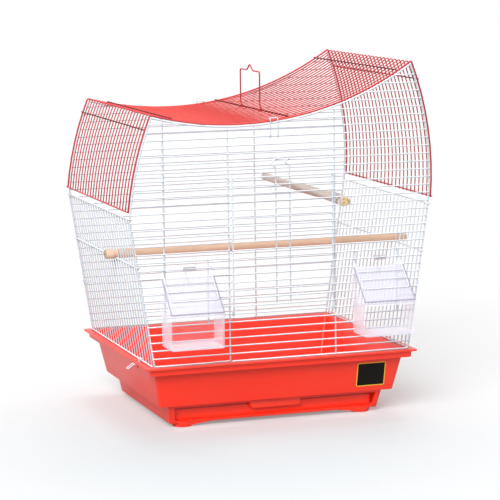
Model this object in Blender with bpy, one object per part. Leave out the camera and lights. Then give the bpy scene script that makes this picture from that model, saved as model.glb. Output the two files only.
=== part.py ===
"""Wave top bird cage: a moulded tub with a pull-out tray, welded wire panels
and a wave-shaped wire roof. Metres, Z up, the feet stand on z = 0, the front
faces -Y, and the origin lies under the middle of the whole object."""

import math

import bmesh
import bpy
from mathutils import Vector

MM = 0.001
GAP = 0.3 * MM                     # between pieces that touch

# Moulded tub
FOOT_HEIGHT = 6.4 * MM
FOOT_RADIUS = 13 * MM
WEB_LENGTH = 44 * MM                # of the rib that runs from a foot along the plinth
WEB_WIDTH = 4 * MM
PLINTH_HEIGHT = 28 * MM
PLINTH_IN = (33.9 * MM, 44.6 * MM)  # inside the wire body's foot, in X and Y
PLINTH_FLARE = (4.4 * MM, 10.6 * MM)
LEDGE_IN = (14.5 * MM, 27 * MM)
WALL_TOP_IN = (1.7 * MM, 12.5 * MM)
FLANGE_OUT = (13.2 * MM, 6.4 * MM)   # outside the wire body's foot
FLANGE_TOP = 100.5 * MM
FLANGE_THICK = 2.5 * MM
SKIRT_INSET = 6.2 * MM
SKIRT_DROP = 9.5 * MM
SKIRT_WALL = 2.3 * MM
TUB_WALL = 2.5 * MM
TUB_FLOOR = 4.1 * MM
TUB_CORNER = 3.5 * MM
FOOT_IN = 23.6 * MM                 # from the plinth's side to the foot's middle

# Pull-out tray
TRAY_OPENING_IN = (4.6 * MM, 8.6 * MM)  # from the plinth's side, at its top and bottom
TRAY_OPENING_HEIGHT = 21 * MM
TRAY_CLEARANCE = 1.5 * MM
TRAY_WALL = 2 * MM
TRAY_RECESS = 3 * MM
TRAY_LIP_HALF = (43 * MM, 38 * MM)
TRAY_LIP_HEIGHT = 9 * MM
TRAY_LIP_OUT = 5 * MM

# Wire gauges, as radii
ROW_R = 1.1 * MM
POST_R = 1.2 * MM
BORDER_R = 1.5 * MM
BAIL_R = 0.9 * MM
SPRING_R = 0.55 * MM
BITE = 0.3 * MM                    # how far welded wires sink into each other

# Wire body
BODY_DEPTH = 354 * MM
BASE_HALF = 198.5 * MM
SHOULDER_HALF = 231.5 * MM
ROW_PITCH = 11.75 * MM
SHOULDER_ROWS = 18.5
MIDDLE_ROWS = 12.5
SIDE_PITCHES = 24

# Roof outline at the rim's centre
APRON_RISE = 9.325 * MM            # of the aprons' feet over the body's shoulders
APRON_OUT = (2 * MM, 4 * MM)       # outside the shoulders, left and right
LEFT_PEAK_IN = 33 * MM
LEFT_PEAK_RISE = 148.325 * MM
RIGHT_PEAK_IN = 26.5 * MM
RIGHT_PEAK_RISE = 214.025 * MM
LEFT_BULGE = 5.2 * MM
WAVE_SAG = 45.8 * MM
RIGHT_BULGE = 11.8 * MM
PEAK_BEND = 7 * MM
ROOF_PITCHES = 23
CROSS_PLACES = (0.002, 0.158, 0.227, 0.461, 0.698, 0.767, 0.998)
ROOF_CUTS = (0.0, 0.172, 0.40, 0.52, 0.752, 0.875, 1.0)
ROOF_NAMES = ("left_roof_apron", "left_roof_wave", "middle_roof_wave",
              "right_roof_wave", "right_roof_shoulder", "right_roof_apron")
HANDLE_CROSS = 3                   # which of the cross wires carries the handle

# Door and feeders
DOOR_POST_X = 82.5 * MM
DOOR_HALF = 77.5 * MM
DOOR_ROWS = (6, 24)
DOOR_INNER_X = 10.8 * MM
FEEDER_X = 148 * MM
FEEDER_HALF = 33 * MM
FEEDER_ROWS = (6, 12)
FEEDER_POST_ROWS = (5, 13)
CUP_HALF = 39 * MM
CUP_DEPTH = 53 * MM
CUP_HEIGHT = 46.5 * MM
CUP_RISE = 9.5 * MM                # of the cup's rim over the wire it hangs on
CUP_WALL = 2 * MM
CUP_TAPER = 1.2 * MM
HOOK_X = 20 * MM
HOOK_WIDTH = 8 * MM
HOOD_HEIGHT = 49 * MM
HOOD_WALL = 1.6 * MM
HOOD_TOP_DEPTH = 5 * MM
HOOD_FRONT_HEIGHT = 3 * MM
FLAP_HALF = 36.5 * MM
FLAP_LENGTH = 56 * MM
FLAP_BARS = (25 * MM, 40 * MM)
COIL_R = 3 * MM
COIL_TURNS = 11
COIL_X = (-4.5 * MM, 13.5 * MM)
SPRING_UP = 16.5 * MM

# Perches
LONG_PERCH_R = 7 * MM
LONG_PERCH_HALF = 240 * MM
LONG_PERCH_GAP = 7                 # between which side wires it passes
LONG_NECK_R = 5.2 * MM
CARVED_X = 95 * MM
CARVED_R = (7.4 * MM, 5.2 * MM)
CARVED_NECK_R = 4.3 * MM
CARVED_ROW = 19
CARVED_OUT = 12 * MM

# Carrying handle
HANDLE_GAPS = (8, 14)              # between which roof wires its eyes sit
HANDLE_HEIGHT = 57 * MM
HANDLE_PEAK = 9.5 * MM
HANDLE_PEAK_HALF = 13.5 * MM

# Catches
CLIP_X = -12 * MM
CLIP_HALF = 5.8 * MM
CLIP_HANG = 20 * MM                # least drop from the rim to the row it hangs on
LATCH_GAP = 4                      # between which side wires it hangs
LATCH_HALF = 4 * MM
LATCH_SLOT_HALF = 7.5 * MM
LATCH_LIP = 5.2 * MM
CORNER_CLIP_ROWS = 6.5

# Places worked out from the sizes above
RAIL_Z = FLANGE_TOP + GAP + BORDER_R
BODY_HALF = (BASE_HALF, BODY_DEPTH / 2)
PLINTH_HALF = tuple(a - b for a, b in zip(BODY_HALF, PLINTH_IN))
LEDGE_HALF = tuple(a - b for a, b in zip(BODY_HALF, LEDGE_IN))
WALL_TOP_HALF = tuple(a - b for a, b in zip(BODY_HALF, WALL_TOP_IN))
FLANGE_HALF = tuple(a + b for a, b in zip(BODY_HALF, FLANGE_OUT))
TRAY_OPENING_HALF = tuple(PLINTH_HALF[0] - a for a in TRAY_OPENING_IN)
FOOT_X = PLINTH_HALF[0] - FOOT_IN
SHOULDER_Z = RAIL_Z + SHOULDER_ROWS * ROW_PITCH
APRON_BOTTOM = SHOULDER_Z + APRON_RISE
LEFT_APRON_X = -(SHOULDER_HALF + APRON_OUT[0])
RIGHT_APRON_X = SHOULDER_HALF + APRON_OUT[1]
LEFT_PEAK = (-(SHOULDER_HALF - LEFT_PEAK_IN), SHOULDER_Z + LEFT_PEAK_RISE)
RIGHT_PEAK = (SHOULDER_HALF - RIGHT_PEAK_IN, SHOULDER_Z + RIGHT_PEAK_RISE)
CUP_BACK = ROW_R + GAP
FEEDER_FRONT = CUP_BACK + CUP_DEPTH
FRONT_Y = FEEDER_FRONT - (FEEDER_FRONT + BODY_DEPTH / 2 + FLANGE_HALF[1]) / 2
BACK_Y = FRONT_Y + BODY_DEPTH
MIDDLE_Y = FRONT_Y + BODY_DEPTH / 2
LAYER = ROW_R + POST_R - BITE      # from a row to the posts welded behind it
BORDER_LAYER = ROW_R + BORDER_R - 0.35 * MM
RIM_INSET = 2 * BORDER_R + GAP + 0.05 * MM
EYE_R = ROW_R + POST_R + GAP
EYE_SWEEP = math.radians(256)      # how far a hinge eye is closed
LEAN = (SHOULDER_HALF - BASE_HALF) / (SHOULDER_ROWS * ROW_PITCH)


def row_z(k):
    """Height of the k-th horizontal wire of the front and back panels."""
    return RAIL_Z + k * ROW_PITCH


def side_x(z):
    """Distance of the leaning side panels from the middle at height z."""
    return BASE_HALF + LEAN * (z - RAIL_Z)


def side_wire_y(j):
    """Place of the j-th upright wire of a side panel."""
    return FRONT_Y + BODY_DEPTH * j / SIDE_PITCHES


def roof_wire_y(j):
    """Place of the j-th long wire of the roof, counting the front rim as 0."""
    first = FRONT_Y + BORDER_LAYER
    return first + (BODY_DEPTH - 2 * BORDER_LAYER) * j / ROOF_PITCHES


# Scene and materials

def clear_scene():
    for old in list(bpy.data.objects):
        bpy.data.objects.remove(old)


clear_scene()
CAGE = bpy.data.collections.new("wave_top_bird_cage")
TOOLS = bpy.data.collections.new("cutters_and_guides")
bpy.context.scene.collection.children.link(CAGE)
bpy.context.scene.collection.children.link(TOOLS)


def material(name, colour, roughness, metallic=0.0, alpha=1.0):
    made = bpy.data.materials.new(name)
    made.use_nodes = True
    shader = made.node_tree.nodes["Principled BSDF"]
    shader.inputs["Base Color"].default_value = (*colour, 1.0)
    shader.inputs["Roughness"].default_value = roughness
    shader.inputs["Metallic"].default_value = metallic
    shader.inputs["Alpha"].default_value = alpha
    made.diffuse_color = (*colour, alpha)
    return made


CORAL_PLASTIC = material("coral_plastic", (0.90, 0.06, 0.035), 0.35)
CORAL_COATING = material("coral_powder_coat", (0.85, 0.07, 0.05), 0.45)
WHITE_COATING = material("white_powder_coat", (0.82, 0.82, 0.84), 0.4)
CLEAR_PLASTIC = material("clear_plastic", (0.90, 0.92, 0.95), 0.08, alpha=0.35)
SPRING_STEEL = material("spring_steel", (0.62, 0.63, 0.66), 0.3, metallic=1.0)
BEECH = material("beech", (0.72, 0.50, 0.32), 0.6)
PALE_WOOD = material("pale_hardwood", (0.66, 0.60, 0.50), 0.65)


# Shaping helpers

def link(name, mesh, collection=TOOLS):
    made = bpy.data.objects.new(name, mesh)
    collection.objects.link(made)
    return made


def evaluated_mesh(source):
    """The object's mesh with its modifiers or its curve bevel worked out."""
    bpy.context.view_layer.update()
    graph = bpy.context.evaluated_depsgraph_get()
    return bpy.data.meshes.new_from_object(source.evaluated_get(graph))


def as_mesh(source):
    """Turns a curve into a closed mesh object and removes the curve."""
    mesh = evaluated_mesh(source)
    work = bmesh.new()
    work.from_mesh(mesh)
    bmesh.ops.remove_doubles(work, verts=work.verts, dist=1e-6)
    bmesh.ops.recalc_face_normals(work, faces=work.faces)
    work.to_mesh(mesh)
    work.free()
    made = link(source.name + "_solid", mesh)
    made.matrix_world = source.matrix_world
    bpy.data.objects.remove(source)
    return made


def triangle_section(radius, ridge):
    """Profile of a three-sided wire with one corner at the angle ridge."""
    outline = bpy.data.curves.new("triangle_section", "CURVE")
    outline.dimensions = "2D"
    spline = outline.splines.new("POLY")
    spline.points.add(2)
    spline.use_cyclic_u = True
    for k, point in enumerate(spline.points):
        turn = ridge + math.tau * k / 3
        point.co = (radius * math.cos(turn), radius * math.sin(turn), 0, 1)
    guide = link("triangle_section", outline)
    guide.hide_render = True
    guide.display_type = "WIRE"
    return guide


def wires(paths, radius, sides=4, cyclic=False, ridge=0.0):
    """One mesh object with a tube along each path; three sides or an even number."""
    curve = bpy.data.curves.new("wire", "CURVE")
    curve.dimensions = "3D"
    curve.use_fill_caps = True
    if sides == 3:
        curve.bevel_mode = "OBJECT"
        curve.bevel_object = triangle_section(radius, ridge)
    else:
        curve.bevel_depth = radius
        curve.bevel_resolution = (sides - 4) // 2
    for path in paths:
        spline = curve.splines.new("POLY")
        spline.points.add(len(path) - 1)
        spline.use_cyclic_u = cyclic
        for point, place in zip(spline.points, path):
            point.co = (*place, 1)
    return as_mesh(link("wire", curve))


def combine(first, others, operation):
    """Works the Booleans of first with each of the others into one mesh."""
    for other in others:
        step = first.modifiers.new(operation.lower(), "BOOLEAN")
        step.operation = operation
        step.solver = "EXACT"
        step.object = other
        mesh = evaluated_mesh(first)
        first.modifiers.clear()
        first.data = mesh
        bpy.data.objects.remove(other)
    return first


def fuse(first, *others):
    return combine(first, others, "UNION")


def cut(first, *others):
    return combine(first, others, "DIFFERENCE")


def finish(shape, name, coating, origin=None, smooth=True):
    """Names a shape, gives it its material and moves its origin to its hinge."""
    shape.name = name
    shape.data.name = name
    shape.data.materials.clear()
    shape.data.materials.append(coating)
    if origin is not None:
        shift = Vector(origin)
        for vertex in shape.data.vertices:
            vertex.co -= shift
        shape.location = shift
    if smooth:
        shape.data.shade_smooth()
        shape.data.set_sharp_from_angle(angle=math.radians(40))
    TOOLS.objects.unlink(shape)
    CAGE.objects.link(shape)
    return shape


def box(low, high):
    work = bmesh.new()
    bmesh.ops.create_cube(work, size=1.0)
    for vertex in work.verts:
        for axis in range(3):
            middle = (low[axis] + high[axis]) / 2
            vertex.co[axis] = middle + vertex.co[axis] * (high[axis] - low[axis])
    mesh = bpy.data.meshes.new("box")
    work.to_mesh(mesh)
    work.free()
    return link("box", mesh)


def cone(centre, radius_low, radius_high, height, sides):
    """An upright cone or cylinder that stands on its centre point."""
    work = bmesh.new()
    bmesh.ops.create_cone(work, cap_ends=True, segments=sides, radius1=radius_low,
                          radius2=radius_high, depth=height)
    bmesh.ops.translate(work, verts=work.verts,
                        vec=Vector(centre) + Vector((0, 0, height / 2)))
    mesh = bpy.data.meshes.new("cone")
    work.to_mesh(mesh)
    work.free()
    return link("cone", mesh)


def loft(loops):
    """A solid skin over closed loops of equal length, capped at both ends."""
    work = bmesh.new()
    rings = [[work.verts.new(place) for place in loop] for loop in loops]
    for ring, above in zip(rings, rings[1:]):
        for k in range(len(ring)):
            n = (k + 1) % len(ring)
            work.faces.new((ring[k], ring[n], above[n], above[k]))
    work.faces.new(list(reversed(rings[0])))
    work.faces.new(rings[-1])
    bmesh.ops.recalc_face_normals(work, faces=work.faces)
    mesh = bpy.data.meshes.new("loft")
    work.to_mesh(mesh)
    work.free()
    return link("loft", mesh)


def plate(outline, axis, low, high):
    """A flat outline in the plane across axis, extruded from low to high."""
    def at(point, level):
        place = list(point)
        place.insert(axis, level)
        return place
    return loft([[at(p, low) for p in outline], [at(p, high) for p in outline]])


def rounded_loop(half, corner, z, steps=2):
    """A rounded rectangle about the middle of the body at height z."""
    loop = []
    for quarter in range(4):
        sign_x = (1, -1, -1, 1)[quarter]
        sign_y = (1, 1, -1, -1)[quarter]
        centre = (sign_x * (half[0] - corner), sign_y * (half[1] - corner))
        for k in range(steps + 1):
            turn = math.pi / 2 * (quarter + k / steps)
            loop.append((centre[0] + corner * math.cos(turn),
                         MIDDLE_Y + centre[1] + corner * math.sin(turn), z))
    return loop


# Paths

def arc(start, end, bulge, steps):
    """Points of an arc that leaves its chord by bulge, to the left of its way."""
    start, end = Vector(start), Vector(end)
    chord = end - start
    half = chord.length / 2
    along = chord.normalized()
    left = Vector((-along.y, along.x))
    radius = (half * half + bulge * bulge) / (2 * abs(bulge))
    sign = 1 if bulge > 0 else -1
    centre = (start + end) / 2 + left * (bulge - sign * radius)
    reach = math.asin(half / radius)
    return [centre + radius * (along * math.sin(t) + left * sign * math.cos(t))
            for t in (reach * (2 * k / steps - 1) for k in range(steps + 1))]


def bend(points, corner, size):
    """Rounds one corner of a path with three points."""
    tip = points[corner]
    before = tip + (points[corner - 1] - tip).normalized() * size
    after = tip + (points[corner + 1] - tip).normalized() * size
    middle = (before + 2 * tip + after) / 4
    return points[:corner] + [before, middle, after] + points[corner + 1:]


def offset(points, distance):
    """A path moved to the left of its way, with mitred corners."""
    moved = []
    for k, point in enumerate(points):
        ways = []
        if k > 0:
            ways.append((point - points[k - 1]).normalized())
        if k < len(points) - 1:
            ways.append((points[k + 1] - point).normalized())
        sides = [Vector((-way.y, way.x)) for way in ways]
        normal = sum(sides, Vector((0, 0))).normalized()
        moved.append(point + normal * distance / normal.dot(sides[0]))
    return moved


def roof_outline():
    """The rim's path in X and Z: left apron, wave, right apron."""
    left = arc((LEFT_APRON_X, APRON_BOTTOM), LEFT_PEAK, LEFT_BULGE, 2)
    wave = arc(LEFT_PEAK, RIGHT_PEAK, -WAVE_SAG, 7)
    right = arc(RIGHT_PEAK, (RIGHT_APRON_X, APRON_BOTTOM), RIGHT_BULGE, 3)
    points = left + wave[1:] + right[1:]
    points = bend(points, len(left) + len(wave) - 2, PEAK_BEND)
    return bend(points, len(left) - 1, PEAK_BEND)


def place_on(points, share):
    """Point and left-hand normal at a share of a path's length."""
    lengths = [(b - a).length for a, b in zip(points, points[1:])]
    left = share * sum(lengths)
    for k, length in enumerate(lengths):
        if left <= length or k == len(lengths) - 1:
            way = (points[k + 1] - points[k]).normalized()
            return points[k] + way * left, Vector((-way.y, way.x))
        left -= length


def stretch(points, low, high, trim):
    """The part of a path between two shares of its length, trimmed at its cut ends."""
    total = sum((b - a).length for a, b in zip(points, points[1:]))
    if low > 0:
        low += trim / total
    if high < 1:
        high -= trim / total
    part = [place_on(points, low)[0]]
    gone = 0
    for a, b in zip(points, points[1:]):
        gone += (b - a).length
        if low * total + 1 * MM < gone < high * total - 1 * MM:
            part.append(b)
    return part + [place_on(points, high)[0]]


ROOF = roof_outline()
BORDER = ([Vector((-BASE_HALF, RAIL_Z)), Vector((-SHOULDER_HALF, row_z(SHOULDER_ROWS)))]
          + offset(ROOF, -RIM_INSET)
          + [Vector((SHOULDER_HALF, row_z(SHOULDER_ROWS))), Vector((BASE_HALF, RAIL_Z))])


def spans(z):
    """Stretches of a panel inside its border at height z, left to right."""
    places = []
    for a, b in zip(BORDER, BORDER[1:]):
        if (a.y - z) * (b.y - z) < 0:
            places.append(a.x + (b.x - a.x) * (z - a.y) / (b.y - a.y))
    places.sort()
    return list(zip(places[::2], places[1::2]))


def border_top(x):
    """Height of the border's top stretch at x."""
    for a, b in zip(BORDER[2:], BORDER[3:-1]):
        if a.x < x <= b.x:
            return a.y + (b.y - a.y) * (x - a.x) / (b.x - a.x)


def without(stretches, low, high):
    """The stretches with the part between low and high left out."""
    kept = []
    for a, b in stretches:
        if a < low:
            kept.append((a, min(b, low)))
        if b > high:
            kept.append((max(a, high), b))
    return kept


def eye(centre, radius, start, sweep, steps=8):
    """Points of a round eye in Y and Z, angles counted from +Y towards +Z."""
    return [(centre[0] + radius * math.cos(start + sweep * k / steps),
             centre[1] + radius * math.sin(start + sweep * k / steps))
            for k in range(steps + 1)]


# Moulded tub and its tray

def grown(half, amount):
    return (half[0] + amount, half[1] + amount)


def foot_web(side, end):
    """A rib under the plinth's edge that runs out of a foot towards the middle."""
    foot = FOOT_X
    outline = [(side * foot, 0.6 * MM)]
    for k in range(5):
        share = k / 4
        outline.append((side * (foot - 9 * MM - (WEB_LENGTH - 9 * MM) * share),
                        0.8 * MM + (FOOT_HEIGHT - 0.8 * MM) * share ** 0.6))
    outline.append((side * (foot - WEB_LENGTH), FOOT_HEIGHT + 1 * MM))
    outline.append((side * foot, FOOT_HEIGHT + 1 * MM))
    outer = MIDDLE_Y + end * (PLINTH_HALF[1] - 0.6 * MM)
    inner = outer - end * WEB_WIDTH
    return plate(outline, 1, min(outer, inner), max(outer, inner))


def base_tub():
    """Flange and skirt, flared wall, ledge and plinth as one lofted shell."""
    low = FOOT_HEIGHT
    ledge = low + PLINTH_HEIGHT
    top = FLANGE_TOP
    under = top - FLANGE_THICK
    plinth_top = (PLINTH_HALF[0] + PLINTH_FLARE[0], PLINTH_HALF[1] + PLINTH_FLARE[1])
    skirt = grown(FLANGE_HALF, -SKIRT_INSET)
    skirt_low = grown(skirt, -1 * MM)
    inner = -TUB_WALL
    outside = TUB_CORNER
    inside = TUB_CORNER - 1 * MM
    stations = [
        (grown(PLINTH_HALF, inner), inside, low + TUB_FLOOR),
        (grown(plinth_top, inner), inside, ledge + TUB_WALL),
        (grown(LEDGE_HALF, inner), inside, ledge + 1.5 * MM + TUB_WALL),
        (grown(WALL_TOP_HALF, inner), inside, top),
        (FLANGE_HALF, outside, top),
        (FLANGE_HALF, outside, under),
        (skirt, outside, under),
        (skirt_low, outside, under - SKIRT_DROP),
        (grown(skirt_low, -SKIRT_WALL), inside, under - SKIRT_DROP),
        (grown(skirt, -SKIRT_WALL), inside, under),
        (WALL_TOP_HALF, outside, under),
        (LEDGE_HALF, outside, ledge + 1.5 * MM),
        (plinth_top, outside, ledge),
        (PLINTH_HALF, outside, low),
    ]
    tub = loft([rounded_loop(half, radius, z) for half, radius, z in stations])
    feet = []
    for side in (-1, 1):
        for end in (-1, 1):
            place = (side * FOOT_X, MIDDLE_Y + end * (PLINTH_HALF[1] - FOOT_RADIUS), 0)
            feet.append(cone(place, 0.9 * FOOT_RADIUS, FOOT_RADIUS,
                             FOOT_HEIGHT + TUB_FLOOR / 2, 12))
    webs = [foot_web(side, end) for side in (-1, 1) for end in (-1, 1)]
    tub = fuse(tub, *feet, *webs)
    front = MIDDLE_Y - plinth_top[1]
    high = low + TUB_FLOOR + TRAY_OPENING_HEIGHT
    wide, narrow = TRAY_OPENING_HALF
    opening = plate([(-wide, high), (-narrow, low + TUB_FLOOR),
                     (narrow, low + TUB_FLOOR), (wide, high)],
                    1, front - 10 * MM, front + 20 * MM)
    slots = []
    for side in (-1, 1):
        inner_x = side * (WALL_TOP_HALF[0] - 0.5 * MM)
        outer_x = side * (FLANGE_HALF[0] - LATCH_LIP)
        middle = (side_wire_y(LATCH_GAP) + side_wire_y(LATCH_GAP + 1)) / 2
        slots.append(box((min(inner_x, outer_x), middle - LATCH_SLOT_HALF,
                          under - SKIRT_DROP - 1 * MM),
                         (max(inner_x, outer_x), middle + LATCH_SLOT_HALF, top + 1 * MM)))
    tub = cut(tub, opening, *slots)
    return finish(tub, "base_tub", CORAL_PLASTIC)


def drawer_tray():
    """A shallow tray with a pull lip along the top of its front."""
    low = FOOT_HEIGHT + TUB_FLOOR + GAP
    high = FOOT_HEIGHT + TUB_FLOOR + TRAY_OPENING_HEIGHT - GAP
    half = TRAY_OPENING_HALF[0] - TRAY_CLEARANCE
    front = MIDDLE_Y - PLINTH_HALF[1] - PLINTH_FLARE[1] / 2 + TRAY_RECESS
    back = MIDDLE_Y + PLINTH_HALF[1] - TUB_WALL - TRAY_CLEARANCE
    draft = 2 * MM
    slope = TRAY_OPENING_HALF[0] - TRAY_OPENING_HALF[1]

    def loop(shrink, z):
        x = half - shrink - slope * (high - z) / (high - low)
        y0 = front + shrink
        y1 = back - shrink - draft * (high - z) / (high - low)
        return [(-x, y0, z), (x, y0, z), (x, y1, z), (-x, y1, z)]

    tray = loft([loop(TRAY_WALL, low + TRAY_WALL), loop(TRAY_WALL, high),
                 loop(0, high), loop(0, low)])
    lip_low = high - TRAY_LIP_HEIGHT
    tip = front - TRAY_LIP_OUT
    wide, narrow = TRAY_LIP_HALF
    lip = loft([
        [(-wide, front + 1 * MM, high - GAP), (wide, front + 1 * MM, high - GAP),
         (narrow, front + 1 * MM, lip_low), (-narrow, front + 1 * MM, lip_low)],
        [(-wide + 3 * MM, tip, high - 1.5 * MM), (wide - 3 * MM, tip, high - 1.5 * MM),
         (narrow - 1 * MM, tip + 1 * MM, lip_low + 1 * MM),
         (-narrow + 1 * MM, tip + 1 * MM, lip_low + 1 * MM)],
    ])
    return finish(fuse(tray, lip), "drawer_tray", CORAL_PLASTIC)


# Welded panels

def panel_rows(y, last_row, gaps):
    """Straight rows across a panel, broken where a gap's rows and reach say."""
    rows = []
    for k in range(1, last_row + 1):
        z = row_z(k)
        stretches = [s for s in spans(z) if s[1] - s[0] > 24 * MM]
        for (first, last), low, high in gaps:
            if first < k < last:
                stretches = without(stretches, low + 0.8 * MM, high - 0.8 * MM)
        for a, b in stretches:
            rows.append([(a - 0.5 * MM, y, z), (b + 0.5 * MM, y, z)])
    return rows


def border_wire(y):
    return wires([[(p.x, y, p.y) for p in BORDER]], BORDER_R, cyclic=True)


def front_panel():
    """Rows in front, posts and the border wire welded behind them."""
    left, right = -FEEDER_X, FEEDER_X
    gaps = [(DOOR_ROWS, -DOOR_POST_X, DOOR_POST_X),
            (FEEDER_ROWS, left - FEEDER_HALF, left + FEEDER_HALF),
            (FEEDER_ROWS, right - FEEDER_HALF, right + FEEDER_HALF)]
    rows = wires(panel_rows(FRONT_Y, 36, gaps), ROW_R, sides=3, ridge=math.pi)
    y = FRONT_Y + LAYER
    low, high = (row_z(k) for k in FEEDER_POST_ROWS)
    posts = []
    for x in (-DOOR_POST_X, DOOR_POST_X):
        posts.append([(x, y, RAIL_Z), (x, y, border_top(x))])
    for x in (left + FEEDER_HALF, right - FEEDER_HALF, right + FEEDER_HALF):
        posts.append([(x, y, low - 1 * MM), (x, y, high + 1 * MM)])
    x = left - FEEDER_HALF
    posts.append([(x, y, low - 1 * MM), (x, y, border_top(x))])
    panel = fuse(wires(posts, POST_R), border_wire(FRONT_Y + BORDER_LAYER), rows)
    return finish(panel, "front_panel", WHITE_COATING)


def back_panel():
    rows = wires(panel_rows(BACK_Y, 36, []), ROW_R, sides=3)
    y = BACK_Y - LAYER
    posts = wires([[(x, y, RAIL_Z), (x, y, border_top(x))]
                   for x in (-DOOR_POST_X, DOOR_POST_X)], POST_R)
    panel = fuse(posts, border_wire(BACK_Y - BORDER_LAYER), rows)
    return finish(panel, "back_panel", WHITE_COATING)


def hooked_cross_wire(side, z):
    """A cross wire whose two ends curl round the border wires."""
    x = side_x(z)
    reach = BORDER_R + POST_R + GAP
    centre = BORDER_LAYER
    end = [(LAYER, 11 * MM), (reach, 6 * MM)]
    end += [(reach * math.cos(t), centre - reach * math.sin(t))
            for t in (math.radians(a) for a in (0, 45, 90, 135, 180))]
    end.append((-reach, centre + 2.5 * MM))
    front = [(side * (x + out), FRONT_Y + back, z) for out, back in end]
    rear = [(side * (x + out), BACK_Y - back, z) for out, back in end]
    return list(reversed(front)) + rear


def side_panel(side, name):
    """Leaning upright wires on three cross wires, the upper two with curled ends."""
    low = FLANGE_TOP + GAP + 0.2 * MM
    high = row_z(SHOULDER_ROWS) + 1 * MM
    uprights = [[(side * side_x(low), side_wire_y(j), low),
                 (side * side_x(high), side_wire_y(j), high)]
                for j in range(1, SIDE_PITCHES)]
    bottom_z = FLANGE_TOP + GAP + POST_R
    x = side * (side_x(bottom_z) + LAYER)
    crosses = [hooked_cross_wire(side, row_z(MIDDLE_ROWS)),
               hooked_cross_wire(side, row_z(SHOULDER_ROWS)),
               [(x, FRONT_Y + 6 * MM, bottom_z), (x, BACK_Y - 6 * MM, bottom_z)]]
    panel = fuse(wires(crosses, POST_R),
                 wires(uprights, ROW_R, sides=3, ridge=-math.pi / 2))
    return finish(panel, name, WHITE_COATING)


def cross_place(index):
    """Centre of a cross wire, which lies on the outside of the roof's long wires."""
    point, outward = place_on(ROOF, CROSS_PLACES[index])
    return point + outward * LAYER


def wave_roof():
    """Rims and long wires welded under cross wires, in six lengths along the wave.

    The real roof is one welded piece. It is cut here so that each length is nearly flat.
    """
    for name, low, high in zip(ROOF_NAMES, ROOF_CUTS, ROOF_CUTS[1:]):
        path = stretch(ROOF, low, high, GAP / 2)
        rims = [[(p.x, roof_wire_y(j), p.y) for p in path] for j in (0, ROOF_PITCHES)]
        longs = [[(p.x, roof_wire_y(j), p.y) for p in path]
                 for j in range(1, ROOF_PITCHES)]
        crosses = []
        for index, share in enumerate(CROSS_PLACES):
            if low < share < high:
                place = cross_place(index)
                crosses.append([(place.x, roof_wire_y(0) - 0.8 * MM, place.y),
                                (place.x, roof_wire_y(ROOF_PITCHES) + 0.8 * MM, place.y)])
        length = fuse(wires(crosses, POST_R), wires(rims, BORDER_R),
                      wires(longs, ROW_R, sides=3, ridge=math.pi / 2))
        finish(length, name, CORAL_COATING)


# Door, feeders and their springs

def front_door():
    """Drop-down door: its edge wires curl round a panel row as hinge eyes.

    The two eyes are nodes of their own, so that the door itself collides as a flat panel.
    """
    hinge = (FRONT_Y, row_z(DOOR_ROWS[0]))
    y = FRONT_Y - EYE_R
    first, last = DOOR_ROWS[0] + 1, DOOR_ROWS[1] - 1
    ring = eye(hinge, EYE_R, math.pi, EYE_SWEEP)
    parting = hinge[1] + EYE_R + POST_R + 0.25 * MM
    for x, label in ((-DOOR_HALF, "left_door_eye"), (DOOR_HALF, "right_door_eye")):
        curl = wires([[(x, y, parting - GAP / 2)] + [(x, a, b) for a, b in ring]], POST_R)
        finish(curl, label, WHITE_COATING, origin=(0, *hinge))
    edges = [[(x, y, row_z(last) + 1 * MM), (x, y, parting + GAP / 2)]
             for x in (-DOOR_HALF, DOOR_HALF)]
    catch = row_z(DOOR_ROWS[1])
    jog, bow = 6.5 * MM, 16 * MM
    x = DOOR_INNER_X
    low = row_z(first) - 1 * MM
    latch = [(-x, low), (-x, catch), (-x - 1.5 * MM, catch + 3 * MM),
             (-x - jog, catch + 4 * MM), (-x - jog - 1 * MM, catch + 7 * MM),
             (-x - 3 * MM, catch + 12 * MM), (-x + 5 * MM, catch + 15 * MM),
             (x - 3 * MM, catch + bow), (x, catch + bow - 1 * MM),
             (x - jog, catch + 9.5 * MM), (x - jog + 0.5 * MM, catch + 6.5 * MM),
             (x - 1 * MM, catch + 5.5 * MM), (x, catch + 2 * MM), (x, low)]
    uprights = wires(edges, POST_R)
    bent = wires([[(a, y, b) for a, b in latch]], ROW_R)
    rows = wires([[(-DOOR_HALF - 0.8 * MM, y - LAYER, row_z(k)),
                   (DOOR_HALF + 0.8 * MM, y - LAYER, row_z(k))]
                  for k in range(first, last + 1)], ROW_R, sides=3, ridge=math.pi)
    door = fuse(rows, uprights, bent)
    return finish(door, "front_door", WHITE_COATING, origin=(0, *hinge))


def hood_slope():
    """Start and way of the hood's sloping front in Y and Z, with its outward side."""
    top = Vector((FRONT_Y - CUP_BACK - HOOD_TOP_DEPTH, hood_top()))
    foot = Vector((FRONT_Y - FEEDER_FRONT, cup_rim() + HOOD_FRONT_HEIGHT))
    way = (foot - top).normalized()
    return top, way, Vector((way.y, -way.x))


def cup_rim():
    return row_z(FEEDER_ROWS[0]) + CUP_RISE


def hood_top():
    return cup_rim() + GAP + HOOD_HEIGHT


def flap_frame():
    """Hinge, way down the flap and outward side, so that its foot rests on the hood."""
    hinge = Vector((FRONT_Y, row_z(FEEDER_ROWS[1])))
    top, slope, outward = hood_slope()
    height = (hinge - top).dot(outward) - EYE_R
    seat = POST_R + GAP
    tilt = math.asin((height - seat) / FLAP_LENGTH)
    way = slope * math.cos(tilt) - outward * math.sin(tilt)
    return hinge, way, Vector((way.y, -way.x))


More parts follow.
